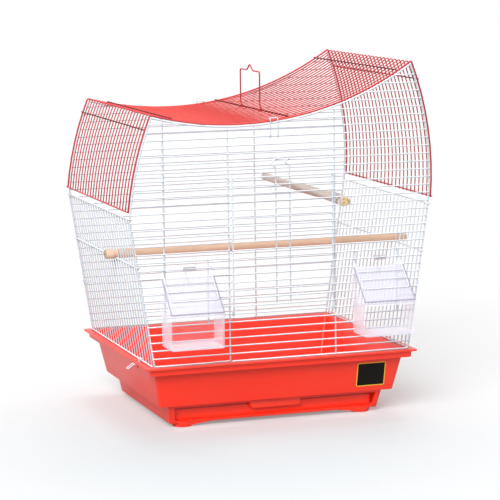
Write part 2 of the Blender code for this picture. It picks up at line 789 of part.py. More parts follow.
def feeder_flap(centre, name):
    """A U of wire with two eyes on a panel row and two bars across its lower half."""
    hinge, way, outward = flap_frame()
    start = math.atan2(-outward.y, -outward.x)
    ring = list(reversed(eye(hinge, EYE_R, start, EYE_SWEEP)))
    corner = 4 * MM

    def at(x, down):
        place = hinge - outward * EYE_R + way * down
        return (centre + x, place.x, place.y)

    left = [(centre - FLAP_HALF, a, b) for a, b in ring]
    right = [(centre + FLAP_HALF, a, b) for a, b in reversed(ring)]
    frame = left + [at(-FLAP_HALF, FLAP_LENGTH - corner),
                    at(-FLAP_HALF + corner, FLAP_LENGTH),
                    at(FLAP_HALF - corner, FLAP_LENGTH),
                    at(FLAP_HALF, FLAP_LENGTH - corner)] + right
    bars = []
    for down in FLAP_BARS:
        place = hinge - outward * (EYE_R - LAYER + BITE) + way * down
        bars.append([(centre - FLAP_HALF - 0.8 * MM, place.x, place.y),
                     (centre + FLAP_HALF + 0.8 * MM, place.x, place.y)])
    flap = fuse(wires([frame], POST_R), wires(bars, ROW_R, sides=6))
    return finish(flap, name, WHITE_COATING, origin=(centre, hinge.x, hinge.y))


def flap_spring(centre, name):
    """Torsion spring round the hinge row: one arm on the flap, one on the row above."""
    hinge, way, outward = flap_frame()
    start = math.atan2(outward.y, -outward.x)
    steps = COIL_TURNS * 8
    total = math.tau * COIL_TURNS - start
    pitch = (COIL_X[1] - COIL_X[0]) / total
    coil = []
    for k in range(steps + 1):
        turn = start + total * k / steps
        coil.append(Vector((centre + COIL_X[0] + pitch * (turn - start),
                            hinge.x - COIL_R * math.cos(turn),
                            hinge.y + COIL_R * math.sin(turn))))
    arm = hinge + way * (FLAP_BARS[0] + 2 * MM)
    arm += outward * (LAYER - EYE_R + ROW_R + SPRING_R + GAP)
    down = Vector((centre + COIL_X[0], arm.x, arm.y))
    bear = FRONT_Y - ROW_R - SPRING_R - GAP
    up = Vector((centre + COIL_X[1], bear - 0.1 * MM, hinge.y + SPRING_UP))
    path = [down] + coil + [up]
    print(name, "least gap between turns, mm:", round(least_gap(path, SPRING_R) / MM, 2))
    spring = wires([[tuple(p) for p in path]], SPRING_R)
    return finish(spring, name, SPRING_STEEL, origin=(centre, hinge.x, hinge.y))


def least_gap(path, radius):
    """Least clear distance between stretches of one tube half a turn or more apart."""
    dense = []
    for a, b in zip(path, path[1:]):
        dense += [a.lerp(b, k / 4) for k in range(4)]
    least = 1.0
    for i, point in enumerate(dense):
        for other in dense[i + 16:]:
            least = min(least, (point - other).length)
    return least - 2 * radius


def feeder_cup(centre, name):
    """Open cup with two hooks that hang over a panel row."""
    rim = cup_rim()
    low = rim - CUP_HEIGHT
    back = FRONT_Y - CUP_BACK
    front = FRONT_Y - FEEDER_FRONT

    def loop(shrink, z):
        taper = CUP_TAPER * (rim - z) / CUP_HEIGHT
        x = CUP_HALF - shrink - taper
        y0, y1 = front + shrink + taper, back - shrink
        return [(centre - x, y0, z), (centre + x, y0, z),
                (centre + x, y1, z), (centre - x, y1, z)]

    cup = loft([loop(CUP_WALL, low + CUP_WALL), loop(CUP_WALL, rim),
                loop(0, rim), loop(0, low)])
    row = row_z(FEEDER_ROWS[0])
    over = row + ROW_R + GAP
    hooks = []
    for x in (centre - HOOK_X, centre + HOOK_X):
        behind = FRONT_Y + ROW_R + GAP
        outline = [(back - 1 * MM, over), (behind, over), (behind, row - 3 * MM),
                   (behind + 1.4 * MM, row - 3 * MM), (behind + 1.4 * MM, over + 2 * MM),
                   (back - 1 * MM, over + 2 * MM)]
        hooks.append(plate(outline, 0, x - HOOK_WIDTH / 2, x + HOOK_WIDTH / 2))
    return finish(fuse(cup, *hooks), name, CLEAR_PLASTIC)


def feeder_hood(centre, name):
    """Clear hood with triangular cheeks and a sloping front, open below and behind."""
    foot = cup_rim() + GAP
    back = FRONT_Y - CUP_BACK
    front = FRONT_Y - FEEDER_FRONT
    top = hood_top()
    lip = cup_rim() + HOOD_FRONT_HEIGHT
    _, _, outward = hood_slope()
    outer = [(back, foot), (back, top), (back - HOOD_TOP_DEPTH, top), (front, lip),
             (front, foot)]
    deep = HOOD_WALL / outward.y
    inner = [(back + 5 * MM, foot - 5 * MM), (back + 5 * MM, top - HOOD_WALL),
             (back - HOOD_TOP_DEPTH, top - HOOD_WALL - deep + HOOD_WALL),
             (front + HOOD_WALL, lip - deep + HOOD_WALL),
             (front + HOOD_WALL, foot - 5 * MM)]
    shell = plate(outer, 0, centre - CUP_HALF, centre + CUP_HALF)
    hollow = plate(inner, 0, centre - CUP_HALF + HOOD_WALL, centre + CUP_HALF - HOOD_WALL)
    return finish(cut(shell, hollow), name, CLEAR_PLASTIC)


# Perches

def turned(stations, sides, place):
    """Round or twisted sections given as (distance, radius, turn) along one way."""
    loops = []
    for distance, radius, turn in stations:
        loop = []
        for k in range(sides):
            angle = math.tau * k / sides
            swell = 1 + 0.10 * math.cos(3 * (angle + turn)) if turn else 1
            loop.append(place(distance, radius * swell * math.cos(angle),
                              radius * swell * math.sin(angle)))
        loops.append(loop)
    return loft(loops)


def long_perch():
    """Dowel through both side panels, necked where their wires pass."""
    z = row_z(MIDDLE_ROWS) + POST_R + GAP + LONG_NECK_R
    y = (side_wire_y(LONG_PERCH_GAP) + side_wire_y(LONG_PERCH_GAP + 1)) / 2
    neck = side_x(z) + 1 * MM
    half_neck = 3.4 * MM
    chamfer = 1 * MM
    right = [(neck - half_neck, LONG_PERCH_R), (neck - half_neck, LONG_NECK_R),
             (neck + half_neck, LONG_NECK_R), (neck + half_neck, LONG_PERCH_R),
             (LONG_PERCH_HALF - chamfer, LONG_PERCH_R),
             (LONG_PERCH_HALF, LONG_PERCH_R - chamfer)]
    profile = [(-a, r) for a, r in reversed(right)] + right
    dowel = turned([(a, r, 0) for a, r in profile], 12,
                   lambda a, u, v: (a, y + u, z + v))
    return finish(dowel, "long_perch", BEECH)


def carved_perch():
    """Tapered perch carved to a turning three-sided section, through front and back."""
    z = row_z(CARVED_ROW) + ROW_R + GAP + CARVED_NECK_R
    front, back = CARVED_R
    half_neck = 2 * MM
    start = FRONT_Y + half_neck
    end = BACK_Y - half_neck
    stations = [(FRONT_Y - CARVED_OUT, front - 1.2 * MM, 0),
                (FRONT_Y - CARVED_OUT + 1.2 * MM, front, 0),
                (FRONT_Y - half_neck, front, 0),
                (FRONT_Y - half_neck, CARVED_NECK_R, 0),
                (start, CARVED_NECK_R, 0)]
    steps = 12
    for k in range(steps + 1):
        share = k / steps
        radius = front + (back - front) * share
        wave = 1 + 0.07 * math.sin(math.tau * 2.5 * share + 0.6)
        stations.append((start + (end - start) * share, radius * wave, 0.4 + 2.2 * share))
    stations += [(end, CARVED_NECK_R, 0), (BACK_Y + half_neck, CARVED_NECK_R, 0),
                 (BACK_Y + half_neck, back, 0), (BACK_Y + 2.2 * half_neck, back, 0)]
    perch = turned(stations, 12, lambda a, u, v: (CARVED_X + u, a, z + v))
    return finish(perch, "carved_perch", PALE_WOOD)


# Handle and catches

def carry_handle():
    """Wire handle with a pointed top, hinged on the middle cross wire of the roof."""
    centre = cross_place(HANDLE_CROSS)
    reach = 2 * POST_R + GAP
    front, back = ((roof_wire_y(j) + roof_wire_y(j + 1)) / 2 for j in HANDLE_GAPS)
    middle = (front + back) / 2
    ring = [(centre.x + reach * math.cos(math.radians(a)),
             centre.y + reach * math.sin(math.radians(a)))
            for a in range(-180, 91, 30)]
    top = centre.y + HANDLE_HEIGHT
    bow = 3 * MM

    def eye_at(y):
        return [(a, y, b) for a, b in ring]

    path = eye_at(front)
    path += [(centre.x, front, top - bow), (centre.x, front + bow, top),
             (centre.x, middle - HANDLE_PEAK_HALF, top),
             (centre.x, middle, top + HANDLE_PEAK),
             (centre.x, middle + HANDLE_PEAK_HALF, top),
             (centre.x, back - bow, top), (centre.x, back, top - bow)]
    path += list(reversed(eye_at(back)))
    handle = wires([path], POST_R)
    return finish(handle, "carry_handle", CORAL_COATING, origin=(centre.x, middle, centre.y))


def roof_clip(face, name):
    """Wire catch on a panel row that lies over the roof's rim and holds it down."""
    y0 = FRONT_Y if face < 0 else BACK_Y
    rim_top = max(roof_height(CLIP_X - CLIP_HALF), roof_height(CLIP_X + CLIP_HALF))
    hinge_z = row_z((rim_top - CLIP_HANG - RAIL_Z) // ROW_PITCH)
    reach = ROW_R + BAIL_R + GAP
    over = rim_top + BORDER_R + GAP + BAIL_R
    tip = BORDER_LAYER + BORDER_R + 2 * MM
    rise = eye((0, hinge_z), reach, -EYE_SWEEP, EYE_SWEEP)
    rise += [(reach, over - 1.5 * MM), (reach - 1.5 * MM, over),
             (-tip + 1.5 * MM, over + 0.4 * MM)]

    def at(x, point):
        return (CLIP_X + x, y0 + face * point[0], point[1])

    left = [at(-CLIP_HALF, p) for p in rise]
    right = [at(CLIP_HALF, p) for p in rise]
    nose = [at(-CLIP_HALF + 2 * MM, (-tip, over + 0.5 * MM)),
            at(CLIP_HALF - 2 * MM, (-tip, over + 0.5 * MM))]
    clip = wires([left + nose + list(reversed(right))], BAIL_R)
    return finish(clip, name, WHITE_COATING, origin=(CLIP_X, y0, hinge_z))


def roof_height(x):
    """Height of the rim's centre at x on the wave."""
    for a, b in zip(ROOF, ROOF[1:]):
        if a.x < x <= b.x:
            return a.y + (b.y - a.y) * (x - a.x) / (b.x - a.x)


def base_latch(side, name):
    """Wire catch hung on a side panel's bottom wire, hooked under the flange's lip."""
    z = FLANGE_TOP + GAP + POST_R
    x = side_x(z) + LAYER
    y = (side_wire_y(LATCH_GAP) + side_wire_y(LATCH_GAP + 1)) / 2
    reach = POST_R + BAIL_R + GAP
    under = FLANGE_TOP - FLANGE_THICK - GAP - BAIL_R
    ring = [(x + reach * math.cos(math.radians(a)), z + reach * math.sin(math.radians(a)))
            for a in range(250, -1, -50)]
    leg = ring + [(x + reach + 0.5 * MM, under + 2 * MM), (x + reach + 2.5 * MM, under),
                  (FLANGE_HALF[0] + 1 * MM, under), (FLANGE_HALF[0] + 8 * MM, under - 5 * MM)]
    first = [(side * a, y - LATCH_HALF, b) for a, b in leg]
    second = [(side * a, y + LATCH_HALF, b) for a, b in leg]
    end = (FLANGE_HALF[0] + 10 * MM, under - 6.5 * MM)
    nose = [(side * end[0], y - LATCH_HALF + 2 * MM, end[1]),
            (side * end[0], y + LATCH_HALF - 2 * MM, end[1])]
    latch = wires([first + nose + list(reversed(second))], BAIL_R)
    return finish(latch, name, WHITE_COATING, origin=(side * x, y, z))


def corner_clip(side, name):
    """Open link that ties a side panel's last upright to the back border wire."""
    z = row_z(CORNER_CLIP_ROWS)
    x = side_x(z)
    border_y = BACK_Y - BORDER_LAYER
    wire_y = side_wire_y(SIDE_PITCHES - 1)
    wide = BORDER_R + BAIL_R + GAP
    path = [(-wide, border_y - 4 * MM)]
    path += [(wide * math.sin(math.radians(a)), border_y + wide * math.cos(math.radians(a)))
             for a in range(-90, 91, 45)]
    path += [(wide * math.sin(math.radians(a)), wire_y + wide * math.cos(math.radians(a)))
             for a in range(90, 271, 45)]
    path.append((-wide, wire_y + 3 * MM))
    link_wire = wires([[(side * (x + a), b, z) for a, b in path]], BAIL_R, sides=6)
    return finish(link_wire, name, SPRING_STEEL)


def build():
    base_tub()
    drawer_tray()
    front_panel()
    back_panel()
    side_panel(-1, "left_side_panel")
    side_panel(1, "right_side_panel")
    wave_roof()
    front_door()
    for centre, label in ((-FEEDER_X, "left"), (FEEDER_X, "right")):
        feeder_cup(centre, label + "_feeder_cup")
        feeder_hood(centre, label + "_feeder_hood")
        feeder_flap(centre, label + "_feeder_flap")
        flap_spring(centre, label + "_flap_spring")
    long_perch()
    carved_perch()
    carry_handle()
    roof_clip(-1, "front_roof_clip")
    roof_clip(1, "back_roof_clip")
    base_latch(-1, "left_base_latch")
    base_latch(1, "right_base_latch")
    corner_clip(-1, "left_corner_clip")
    corner_clip(1, "right_corner_clip")


build()
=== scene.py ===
"""Wave top bird cage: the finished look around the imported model. Metres, +Z up."""
import math

import bmesh
import bpy
from mathutils import Matrix, Vector


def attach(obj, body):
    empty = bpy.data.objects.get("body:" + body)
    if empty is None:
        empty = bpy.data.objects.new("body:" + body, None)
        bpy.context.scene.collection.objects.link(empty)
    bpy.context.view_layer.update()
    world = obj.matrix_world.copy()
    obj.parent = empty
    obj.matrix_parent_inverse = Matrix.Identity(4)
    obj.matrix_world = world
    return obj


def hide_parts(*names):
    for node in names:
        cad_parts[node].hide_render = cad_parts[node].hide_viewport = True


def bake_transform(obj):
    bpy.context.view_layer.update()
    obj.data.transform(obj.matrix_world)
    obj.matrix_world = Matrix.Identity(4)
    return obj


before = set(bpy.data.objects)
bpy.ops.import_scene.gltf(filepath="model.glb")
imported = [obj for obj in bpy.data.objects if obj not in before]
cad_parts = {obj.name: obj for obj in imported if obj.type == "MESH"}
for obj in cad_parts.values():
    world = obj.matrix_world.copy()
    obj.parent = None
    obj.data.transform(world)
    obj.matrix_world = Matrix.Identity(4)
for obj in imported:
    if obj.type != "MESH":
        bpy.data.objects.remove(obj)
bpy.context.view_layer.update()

# ------------------------------------------------------------------ Base tub
# One injection moulding in coral polypropylene: a flange with a hanging skirt, a flared wall,
# a ledge and a plinth on four round feet. Two slots in the flange take the base latches.
MM = 0.001
MIDDLE = 24 * MM                        # of the tub, from front to back
PLINTH_FOOT = Vector((0, MIDDLE, 6.4 * MM))
TUB_CORNER = 3.5 * MM
TUB_SECTIONS = [                        # half width, half depth and height, in mm
    (164.6, 132.4, 6.4), (169, 143, 34.4), (184, 150, 35.9), (196.8, 164.5, 98),
    (203.2, 174.9, 98), (202.2, 173.9, 88.5), (204.5, 176.2, 88.5), (205.5, 177.2, 98),
    (211.7, 183.4, 98), (211.7, 183.4, 100.5), (194.3, 162, 100.5), (181.5, 147.5, 38.4),
    (166.5, 140.5, 36.9), (162.1, 129.9, 10.5)]
FOOT_X, FOOT_Y = 141 * MM, 119.3 * MM   # from the tub's middle
FOOT_R = (14.6 * MM, 16 * MM)           # at the floor and under the plinth
FOOT_HEIGHT = 8.4 * MM
RIB_Y = 129.8 * MM                      # from the tub's middle
RIB_FOOT, RIB_TOP = 0.8 * MM, 7.6 * MM
RIB_HEIGHTS = [6.8, 5.2, 4.0, 3.0, 2.2, 1.6]
RIB_STEP = 7 * MM
OPENING_TOP_HALF, OPENING_FOOT_HALF = 160, 156
OPENING_FOOT, OPENING_TOP = 10.5 * MM, 31.5 * MM
LATCH_Y = -86.625 * MM
SLOT_IN, SLOT_OUT, SLOT_HALF = 196.3 * MM, 206.5 * MM, 7.5 * MM
SLOT_FOOT, SLOT_TOP = 86.5 * MM, 102 * MM


def deselect():
    """Leaves edit mode with nothing selected."""
    if bpy.context.object and bpy.context.object.mode == "EDIT":
        bpy.ops.object.mode_set(mode="OBJECT")
    bpy.ops.object.select_all(action="DESELECT")


def select_only(piece):
    """Leaves edit mode with one piece selected."""
    deselect()
    bpy.context.view_layer.objects.active = piece
    piece.select_set(True)


def primitive(add, name, **settings):
    """Adds a mesh primitive with nothing else selected."""
    deselect()
    add(**settings)
    piece = bpy.context.object
    piece.name = name
    piece.data.name = name
    return piece


def block(name, low, high):
    """A cube primitive stretched between two corners."""
    low, high = Vector(low), Vector(high)
    piece = primitive(bpy.ops.mesh.primitive_cube_add, name, size=1, location=(low + high) / 2)
    piece.scale = high - low
    bpy.ops.object.transform_apply(location=True, rotation=True, scale=True)
    return piece


def pick(piece, kind, test):
    """In edit mode, selects only the vertices, edges or faces that pass a test."""
    select_only(piece)
    bpy.ops.object.mode_set(mode="EDIT")
    bpy.ops.mesh.select_mode(type=kind)
    bpy.ops.mesh.select_all(action="DESELECT")
    shape = bmesh.from_edit_mesh(piece.data)
    for item in {"VERT": shape.verts, "EDGE": shape.edges, "FACE": shape.faces}[kind]:
        if test(item):
            item.select_set(True)
    shape.select_flush_mode()
    bmesh.update_edit_mesh(piece.data)


def middle_of(item):
    """Middle of an edge or a face."""
    return sum((v.co for v in item.verts), Vector()) / len(item.verts)


def span(edge):
    """An edge as a vector."""
    return edge.verts[0].co - edge.verts[1].co


def bevel_where(piece, test, width, segments):
    """Rounds the edges that pass a test."""
    pick(piece, "EDGE", test)
    bpy.ops.mesh.bevel(offset=width, segments=segments, affect="EDGES")


def narrow_foot(piece, share, foot):
    """Makes the underside of a block narrower."""
    pick(piece, "FACE", lambda face: face.normal.z < -0.9)
    bpy.ops.transform.resize(value=(share, 1, 1), center_override=(0, 0, foot))


def rounded_plate(name, middle, half, corner, segments):
    """A flat plate with rounded corners, in edit mode with its face selected."""
    plate = primitive(bpy.ops.mesh.primitive_plane_add, name, size=2, location=middle)
    bpy.ops.object.mode_set(mode="EDIT")
    bpy.ops.mesh.select_all(action="SELECT")
    bpy.ops.transform.resize(value=(*half, 1), center_override=middle)
    bpy.ops.mesh.bevel(offset=corner, segments=segments, affect="VERTICES")
    bpy.ops.mesh.select_mode(type="FACE")
    bpy.ops.mesh.select_all(action="SELECT")
    return plate


def grow(centre, ways):
    """Extrudes the selected face again and again: each way is a move and a size change."""
    for move, size in ways:
        bpy.ops.mesh.extrude_region_move(TRANSFORM_OT_translate={"value": move})
        centre = centre + Vector(move)
        bpy.ops.transform.resize(value=size, center_override=centre)


def grow_up(centre, sections):
    """Grows the selected face upwards through sections of half width, half depth, height."""
    grow(centre, [((0, 0, (b[2] - a[2]) * MM), (b[0] / a[0], b[1] / a[1], 1))
                  for a, b in zip(sections, sections[1:])])


def close_up():
    """Turns every face outwards, leaves edit mode and applies the piece's place."""
    bpy.ops.mesh.select_all(action="SELECT")
    bpy.ops.mesh.normals_make_consistent(inside=False)
    bpy.ops.object.mode_set(mode="OBJECT")
    bpy.ops.object.transform_apply(location=True, rotation=True, scale=True)


def modifier(piece, kind, **settings):
    """Adds a modifier and applies it."""
    select_only(piece)
    made = piece.modifiers.new(kind.lower(), kind)
    for setting, value in settings.items():
        setattr(made, setting, value)
    bpy.ops.object.modifier_apply(modifier=made.name)


def round_edges(piece, width, angle):
    """Rounds every edge that is sharper than an angle."""
    modifier(piece, "BEVEL", width=width, segments=2, limit_method="ANGLE",
             angle_limit=math.radians(angle))


def cut_with(piece, tool, operation="DIFFERENCE"):
    """One Boolean with a tool, which is then thrown away."""
    modifier(piece, "BOOLEAN", operation=operation, object=tool, solver="EXACT")
    bpy.data.objects.remove(tool)


def smooth(piece, angle):
    """Shades smooth all edges that are blunter than an angle."""
    select_only(piece)
    bpy.ops.object.shade_smooth_by_angle(angle=math.radians(angle))


def only_finish(piece, finish):
    """Gives a piece one material, in place of those that its Booleans brought."""
    piece.data.materials.clear()
    piece.data.materials.append(finish)


class Value:
    """A material's socket: operators add Math nodes, node() adds any other node."""

    def __init__(self, tree, socket):
        self.tree = tree
        self.socket = socket

    def node(self, kind, settings=None, values=None, out=0):
        made = self.tree.nodes.new("ShaderNode" + kind)
        for name, setting in (settings or {}).items():
            setattr(made, name, setting)
        for name, value in (values or {}).items():
            if isinstance(value, Value):
                self.tree.links.new(value.socket, made.inputs[name])
            else:
                made.inputs[name].default_value = value
        return Value(self.tree, made.outputs[out])

    def maths(self, operation, *others):
        return self.node("Math", {"operation": operation}, dict(enumerate((self,) + others)))

    def __add__(self, other):
        return self.maths("ADD", other)

    __radd__ = __add__

    def __sub__(self, other):
        return self.maths("SUBTRACT", other)

    def __rsub__(self, other):
        return self.node("Math", {"operation": "SUBTRACT"}, {0: other, 1: self})

    def __mul__(self, other):
        return self.maths("MULTIPLY", other)

    __rmul__ = __mul__

    def __pow__(self, other):
        return self.maths("POWER", other)

    def __abs__(self):
        return self.maths("ABSOLUTE")

    def above(self, low, high):
        """0 below low, 1 above high, a smooth rise between them."""
        return self.node("MapRange", {"interpolation_type": "SMOOTHSTEP"},
                         {"Value": self, "From Min": low, "From Max": high})

    def blend(self, first, second):
        """Colour between first and second by this value."""
        return self.node("Mix", {"data_type": "RGBA"},
                         {0: self, 6: first, 7: second}, out=2)

    def part(self, axis):
        """The part of a place or a normal along one axis."""
        return self.node("SeparateXYZ", {}, {0: self}, out=axis)


def start_material(name):
    """A new material: its place on the piece as a Value, and its Principled shader."""
    finish = bpy.data.materials.new(name)
    finish.use_nodes = True
    place = Value(finish.node_tree, None).node("TexCoord", out="Object")
    return finish, place, finish.node_tree.nodes["Principled BSDF"]


def feed(shader, place, **links):
    """Links values to the shader's sockets, or sets plain numbers on them."""
    for name, value in links.items():
        socket = shader.inputs[name.replace("_", " ")]
        if isinstance(value, Value):
            place.tree.links.new(value.socket, socket)
        else:
            socket.default_value = value


def noise(place, scale, detail=2.0, roughness=0.5, stretch=None):
    """Fine or broad mottling; stretch scales its place along the three axes."""
    if stretch:
        place = place.node("Mapping", {}, {"Vector": place, "Scale": stretch})
    return place.node("TexNoise", {}, {"Vector": place, "Scale": scale, "Detail": detail,
                                       "Roughness": roughness})


def bumps(place, height, strength, distance):
    """A height turned into a normal."""
    return place.node("Bump", {}, {"Height": height, "Strength": strength,
                                   "Distance": distance})


def moulded_plastic(name, deep, pale, painted_shade=None):
    """Glossy polypropylene: slow colour drift, fine grain, a few scuffs. Where the shade mask is
    high, the plastic is darkened as painted shade."""
    finish, place, shader = start_material(name)
    drift = noise(place, 7.0, 3.0)
    grain = noise(place, 1400.0, 2.0)
    scuff = noise(place, 90.0, 4.0, 0.7, (1.0, 1.0, 9.0)).above(0.66, 0.74)
    colour = (drift * 0.7 + scuff * 0.3).blend(deep, pale)
    if painted_shade:
        # Painted shade: deep red where the shade mask is high.
        colour = (painted_shade(place) * 0.85).blend(colour, (0.30, 0.006, 0.002, 1))
    feed(shader, place, Base_Color=colour,
         Roughness=0.27 + drift * 0.08 + scuff * 0.16,
         Normal=bumps(place, grain + noise(place, 160.0) * 0.8, 0.22, 0.00012))
    return finish


coral_plastic = moulded_plastic("coral_plastic", (0.97, 0.028, 0.008, 1),
                                (0.98, 0.050, 0.022, 1))

tub = rounded_plate("cage_tub", PLINTH_FOOT, [v * MM for v in TUB_SECTIONS[0][:2]],
                    TUB_CORNER, 4)
grow_up(PLINTH_FOOT, TUB_SECTIONS)
close_up()
round_edges(tub, 0.7 * MM, 32)

for side in (-1, 1):
    for end in (-1, 1):
        foot = primitive(bpy.ops.mesh.primitive_cone_add, "foot", vertices=40,
                         radius1=FOOT_R[0], radius2=FOOT_R[1], depth=FOOT_HEIGHT,
                         location=(side * FOOT_X, MIDDLE + end * FOOT_Y, FOOT_HEIGHT / 2))
        bevel_where(foot, lambda edge: middle_of(edge).z < -4 * MM, 1.2 * MM, 3)
        close_up()
        cut_with(tub, foot, "UNION")
        x, y = side * FOOT_X, MIDDLE + end * RIB_Y
        rib = block("rib", (x - 5 * MM, y - 2 * MM, RIB_FOOT), (x + 5 * MM, y + 2 * MM, RIB_TOP))
        pick(rib, "FACE", lambda face: face.normal.x * side < -0.9)
        grow(Vector((x - side * 5 * MM, y, RIB_TOP)),
             [((-side * RIB_STEP, 0, 0), (1, 1, b / a))
              for a, b in zip(RIB_HEIGHTS, RIB_HEIGHTS[1:])])
        cut_with(tub, rib, "UNION")

opening = block("opening", (-OPENING_TOP_HALF * MM, -129 * MM, OPENING_FOOT),
                (OPENING_TOP_HALF * MM, -99 * MM, OPENING_TOP))
narrow_foot(opening, OPENING_FOOT_HALF / OPENING_TOP_HALF, OPENING_FOOT)
bevel_where(opening, lambda edge: abs(span(edge).y) > 20 * MM, 1.6 * MM, 3)
cut_with(tub, opening)
for side in (-1, 1):
    ends = sorted((side * SLOT_IN, side * SLOT_OUT))
    cut_with(tub, block("slot", (ends[0], LATCH_Y - SLOT_HALF, SLOT_FOOT),
                        (ends[1], LATCH_Y + SLOT_HALF, SLOT_TOP)))
smooth(tub, 32)
only_finish(tub, coral_plastic)
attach(tub, "cage_body")
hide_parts("base_tub")

# ------------------------------------------------------------- Pull-out tray
# A shallow coral moulding that slides on the plinth's floor. Its front stands a little behind
# the opening and has a pull lip with rounded lower corners along the middle of its top.
TRAY_FRONT, TRAY_BACK = -104 * MM, 152.4 * MM
TRAY_TOP, TRAY_FOOT = 31.2 * MM, 10.8 * MM
TRAY_TOP_HALF, TRAY_FOOT_HALF = 158.5, 154.5
TRAY_WALL, TRAY_DEPTH = 2.2 * MM, 18 * MM
LIP_HALF = 41 * MM
LIP_OUT = 11.2 * MM
LIP_HEIGHT = 11 * MM
UNSHADED_TOP, UNSHADED_HALF = 26.8 * MM, 156 * MM  # of the front, inside its painted shade along the top and the ends

tray = block("pull_tray", (-TRAY_TOP_HALF * MM, TRAY_FRONT, TRAY_FOOT),
             (TRAY_TOP_HALF * MM, TRAY_BACK, TRAY_TOP))
narrow_foot(tray, TRAY_FOOT_HALF / TRAY_TOP_HALF, TRAY_FOOT)
bevel_where(tray, lambda edge: abs(span(edge).z) > 9 * MM and middle_of(edge).y > 0,
            6 * MM, 4)
bevel_where(tray, lambda edge: abs(span(edge).z) > 9 * MM and middle_of(edge).y < -100 * MM,
            1.5 * MM, 3)
pick(tray, "FACE", lambda face: face.normal.z > 0.9)
bpy.ops.mesh.inset(thickness=TRAY_WALL)
grow(Vector((0, 21 * MM, TRAY_TOP)), [((0, 0, -TRAY_DEPTH), (0.975, 0.985, 1))])
round_edges(tray, 0.6 * MM, 40)
lip = block("lip", (-LIP_HALF, TRAY_FRONT - LIP_OUT, TRAY_TOP - LIP_HEIGHT),
            (LIP_HALF, TRAY_FRONT + 1 * MM, TRAY_TOP - 0.3 * MM))
bevel_where(lip, lambda edge: middle_of(edge).z < 24 * MM and abs(span(edge).y) > 4 * MM,
            4.5 * MM, 5)
pick(lip, "FACE", lambda face: face.normal.y < -0.9)
bpy.ops.transform.resize(value=(0.95, 1, 0.86), center_override=(0, 0, TRAY_TOP - 1 * MM))
round_edges(lip, 0.7 * MM, 40)
cut_with(tray, lip, "UNION")
smooth(tray, 32)


def shade_on_tray_front(place):
    """1 along the top and the ends of the tray's front: painted shade under the edges of its
    opening.
    """
    painted_shade = place.part(2).above(UNSHADED_TOP - 1.2 * MM, UNSHADED_TOP).maths(
        "MAXIMUM", abs(place.part(0)).above(UNSHADED_HALF - 1.2 * MM, UNSHADED_HALF))
    return painted_shade * (1 - abs(place.part(1) - TRAY_FRONT).above(0.8 * MM, 2 * MM))


# The tray's plastic is a darker copy of the tub's, painted shade for its recess.
only_finish(tray, moulded_plastic("coral_tray_plastic_in_shade", (0.88, 0.034, 0.010, 1),
                                  (0.89, 0.046, 0.018, 1), shade_on_tray_front))
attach(tray, "tray")
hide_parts("drawer_tray")

# --------------------------------------------------------------- Blank label
# A printed vinyl label on the front wall: black field, thin gold border, rounded corners.
# It is left bare. It lies on the wall's slope and stands a third of a millimetre proud.
LABEL_MIDDLE = Vector((145.9 * MM, -132.37 * MM, 63 * MM))
LABEL_HALF = (22.7 * MM, 19 * MM)
LABEL_THICK = 0.35 * MM
LABEL_BORDER = 0.9 * MM
WALL_LEAN = math.atan2(14.5, 62.1)


def printed_vinyl(name, colour, roughness):
    """Matt print on vinyl: fine print grain and a slight unevenness."""
    finish, place, shader = start_material(name)
    print_grain = noise(place, 2600.0, 3.0)
    shade = noise(place, 240.0, 2.0) * 0.5 + print_grain * 0.5
    feed(shader, place, Specular_IOR_Level=0.15,
         Base_Color=shade.blend(tuple(0.82 * c for c in colour) + (1,), (*colour, 1)),
         Roughness=roughness + print_grain * 0.12,
         Normal=bumps(place, noise(place, 120.0), 0.15, 0.0002))
    return finish


label = rounded_plate("blank_label", LABEL_MIDDLE, LABEL_HALF, 2.4 * MM, 5)
bpy.ops.mesh.extrude_region_move(TRANSFORM_OT_translate={"value": (0, 0, LABEL_THICK)})
bpy.ops.mesh.inset(thickness=0.35 * MM)
bpy.ops.mesh.inset(thickness=LABEL_BORDER)
close_up()
label.data.materials.append(printed_vinyl("gold_print", (0.88, 0.54, 0.05), 0.35))
label.data.materials.append(printed_vinyl("black_print", (0.005, 0.004, 0.003), 0.45))
pick(label, "FACE", lambda face: face.normal.z > 0.9 and face.calc_area() > 4e-4)
label.active_material_index = 1
bpy.ops.object.material_slot_assign()
bpy.ops.object.mode_set(mode="OBJECT")
label.data.transform(Matrix.Translation(LABEL_MIDDLE)
                     @ Matrix.Rotation(math.pi / 2 + WALL_LEAN, 4, "X")
                     @ Matrix.Translation(-LABEL_MIDDLE))
smooth(label, 30)
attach(label, "cage_body")

# --------------------------------------------------------------- Front panel
# Rows of 2 mm wire spot-welded in front of three tall posts, short posts round the feeder
# openings and a heavier border wire, then white powder coat. The border's two ends lap at the
# bottom, and the coating gathers in a small fillet at each weld.
FRONT, BACK = -153 * MM, 201 * MM
BODY_DEPTH = 354 * MM
BOTTOM_ROW, ROW_PITCH = 102.3, 11.75    # mm
LAST_ROW = 36
ROW_R = 1.0 * MM
POST_R = 1.1 * MM
BORDER_R = 1.3 * MM
POST_LAYER = 2 * MM
BORDER_LAYER = 2.25 * MM
RIM_INSET = 3.35 * MM
PEAK_BEND = 3 * MM
LAP_HALF, LAP_LAYER = 12 * MM, 2.9 * MM
SIDE_FOOT_X = 198.5 * MM
SHOULDER_X, SHOULDER_Z = 231.5 * MM, 319.675 * MM
DOOR_ROWS, FEEDER_ROWS = (6, 24), (6, 12)  # each opening is between two of its rows
DOOR_POST_X = 82.5 * MM
SHORT_POST_X, OUTER_POST_X = 115 * MM, 181 * MM
POST_ROWS = (5, 13)                        # where the short posts end
FEEDERS = ((-148 * MM, "left"), (148 * MM, "right"))
FEEDER_OPENING_HALF = 33 * MM


def row_z(k):
    """Height of the k-th row of the front and back panels."""
    return (BOTTOM_ROW + ROW_PITCH * k) * MM


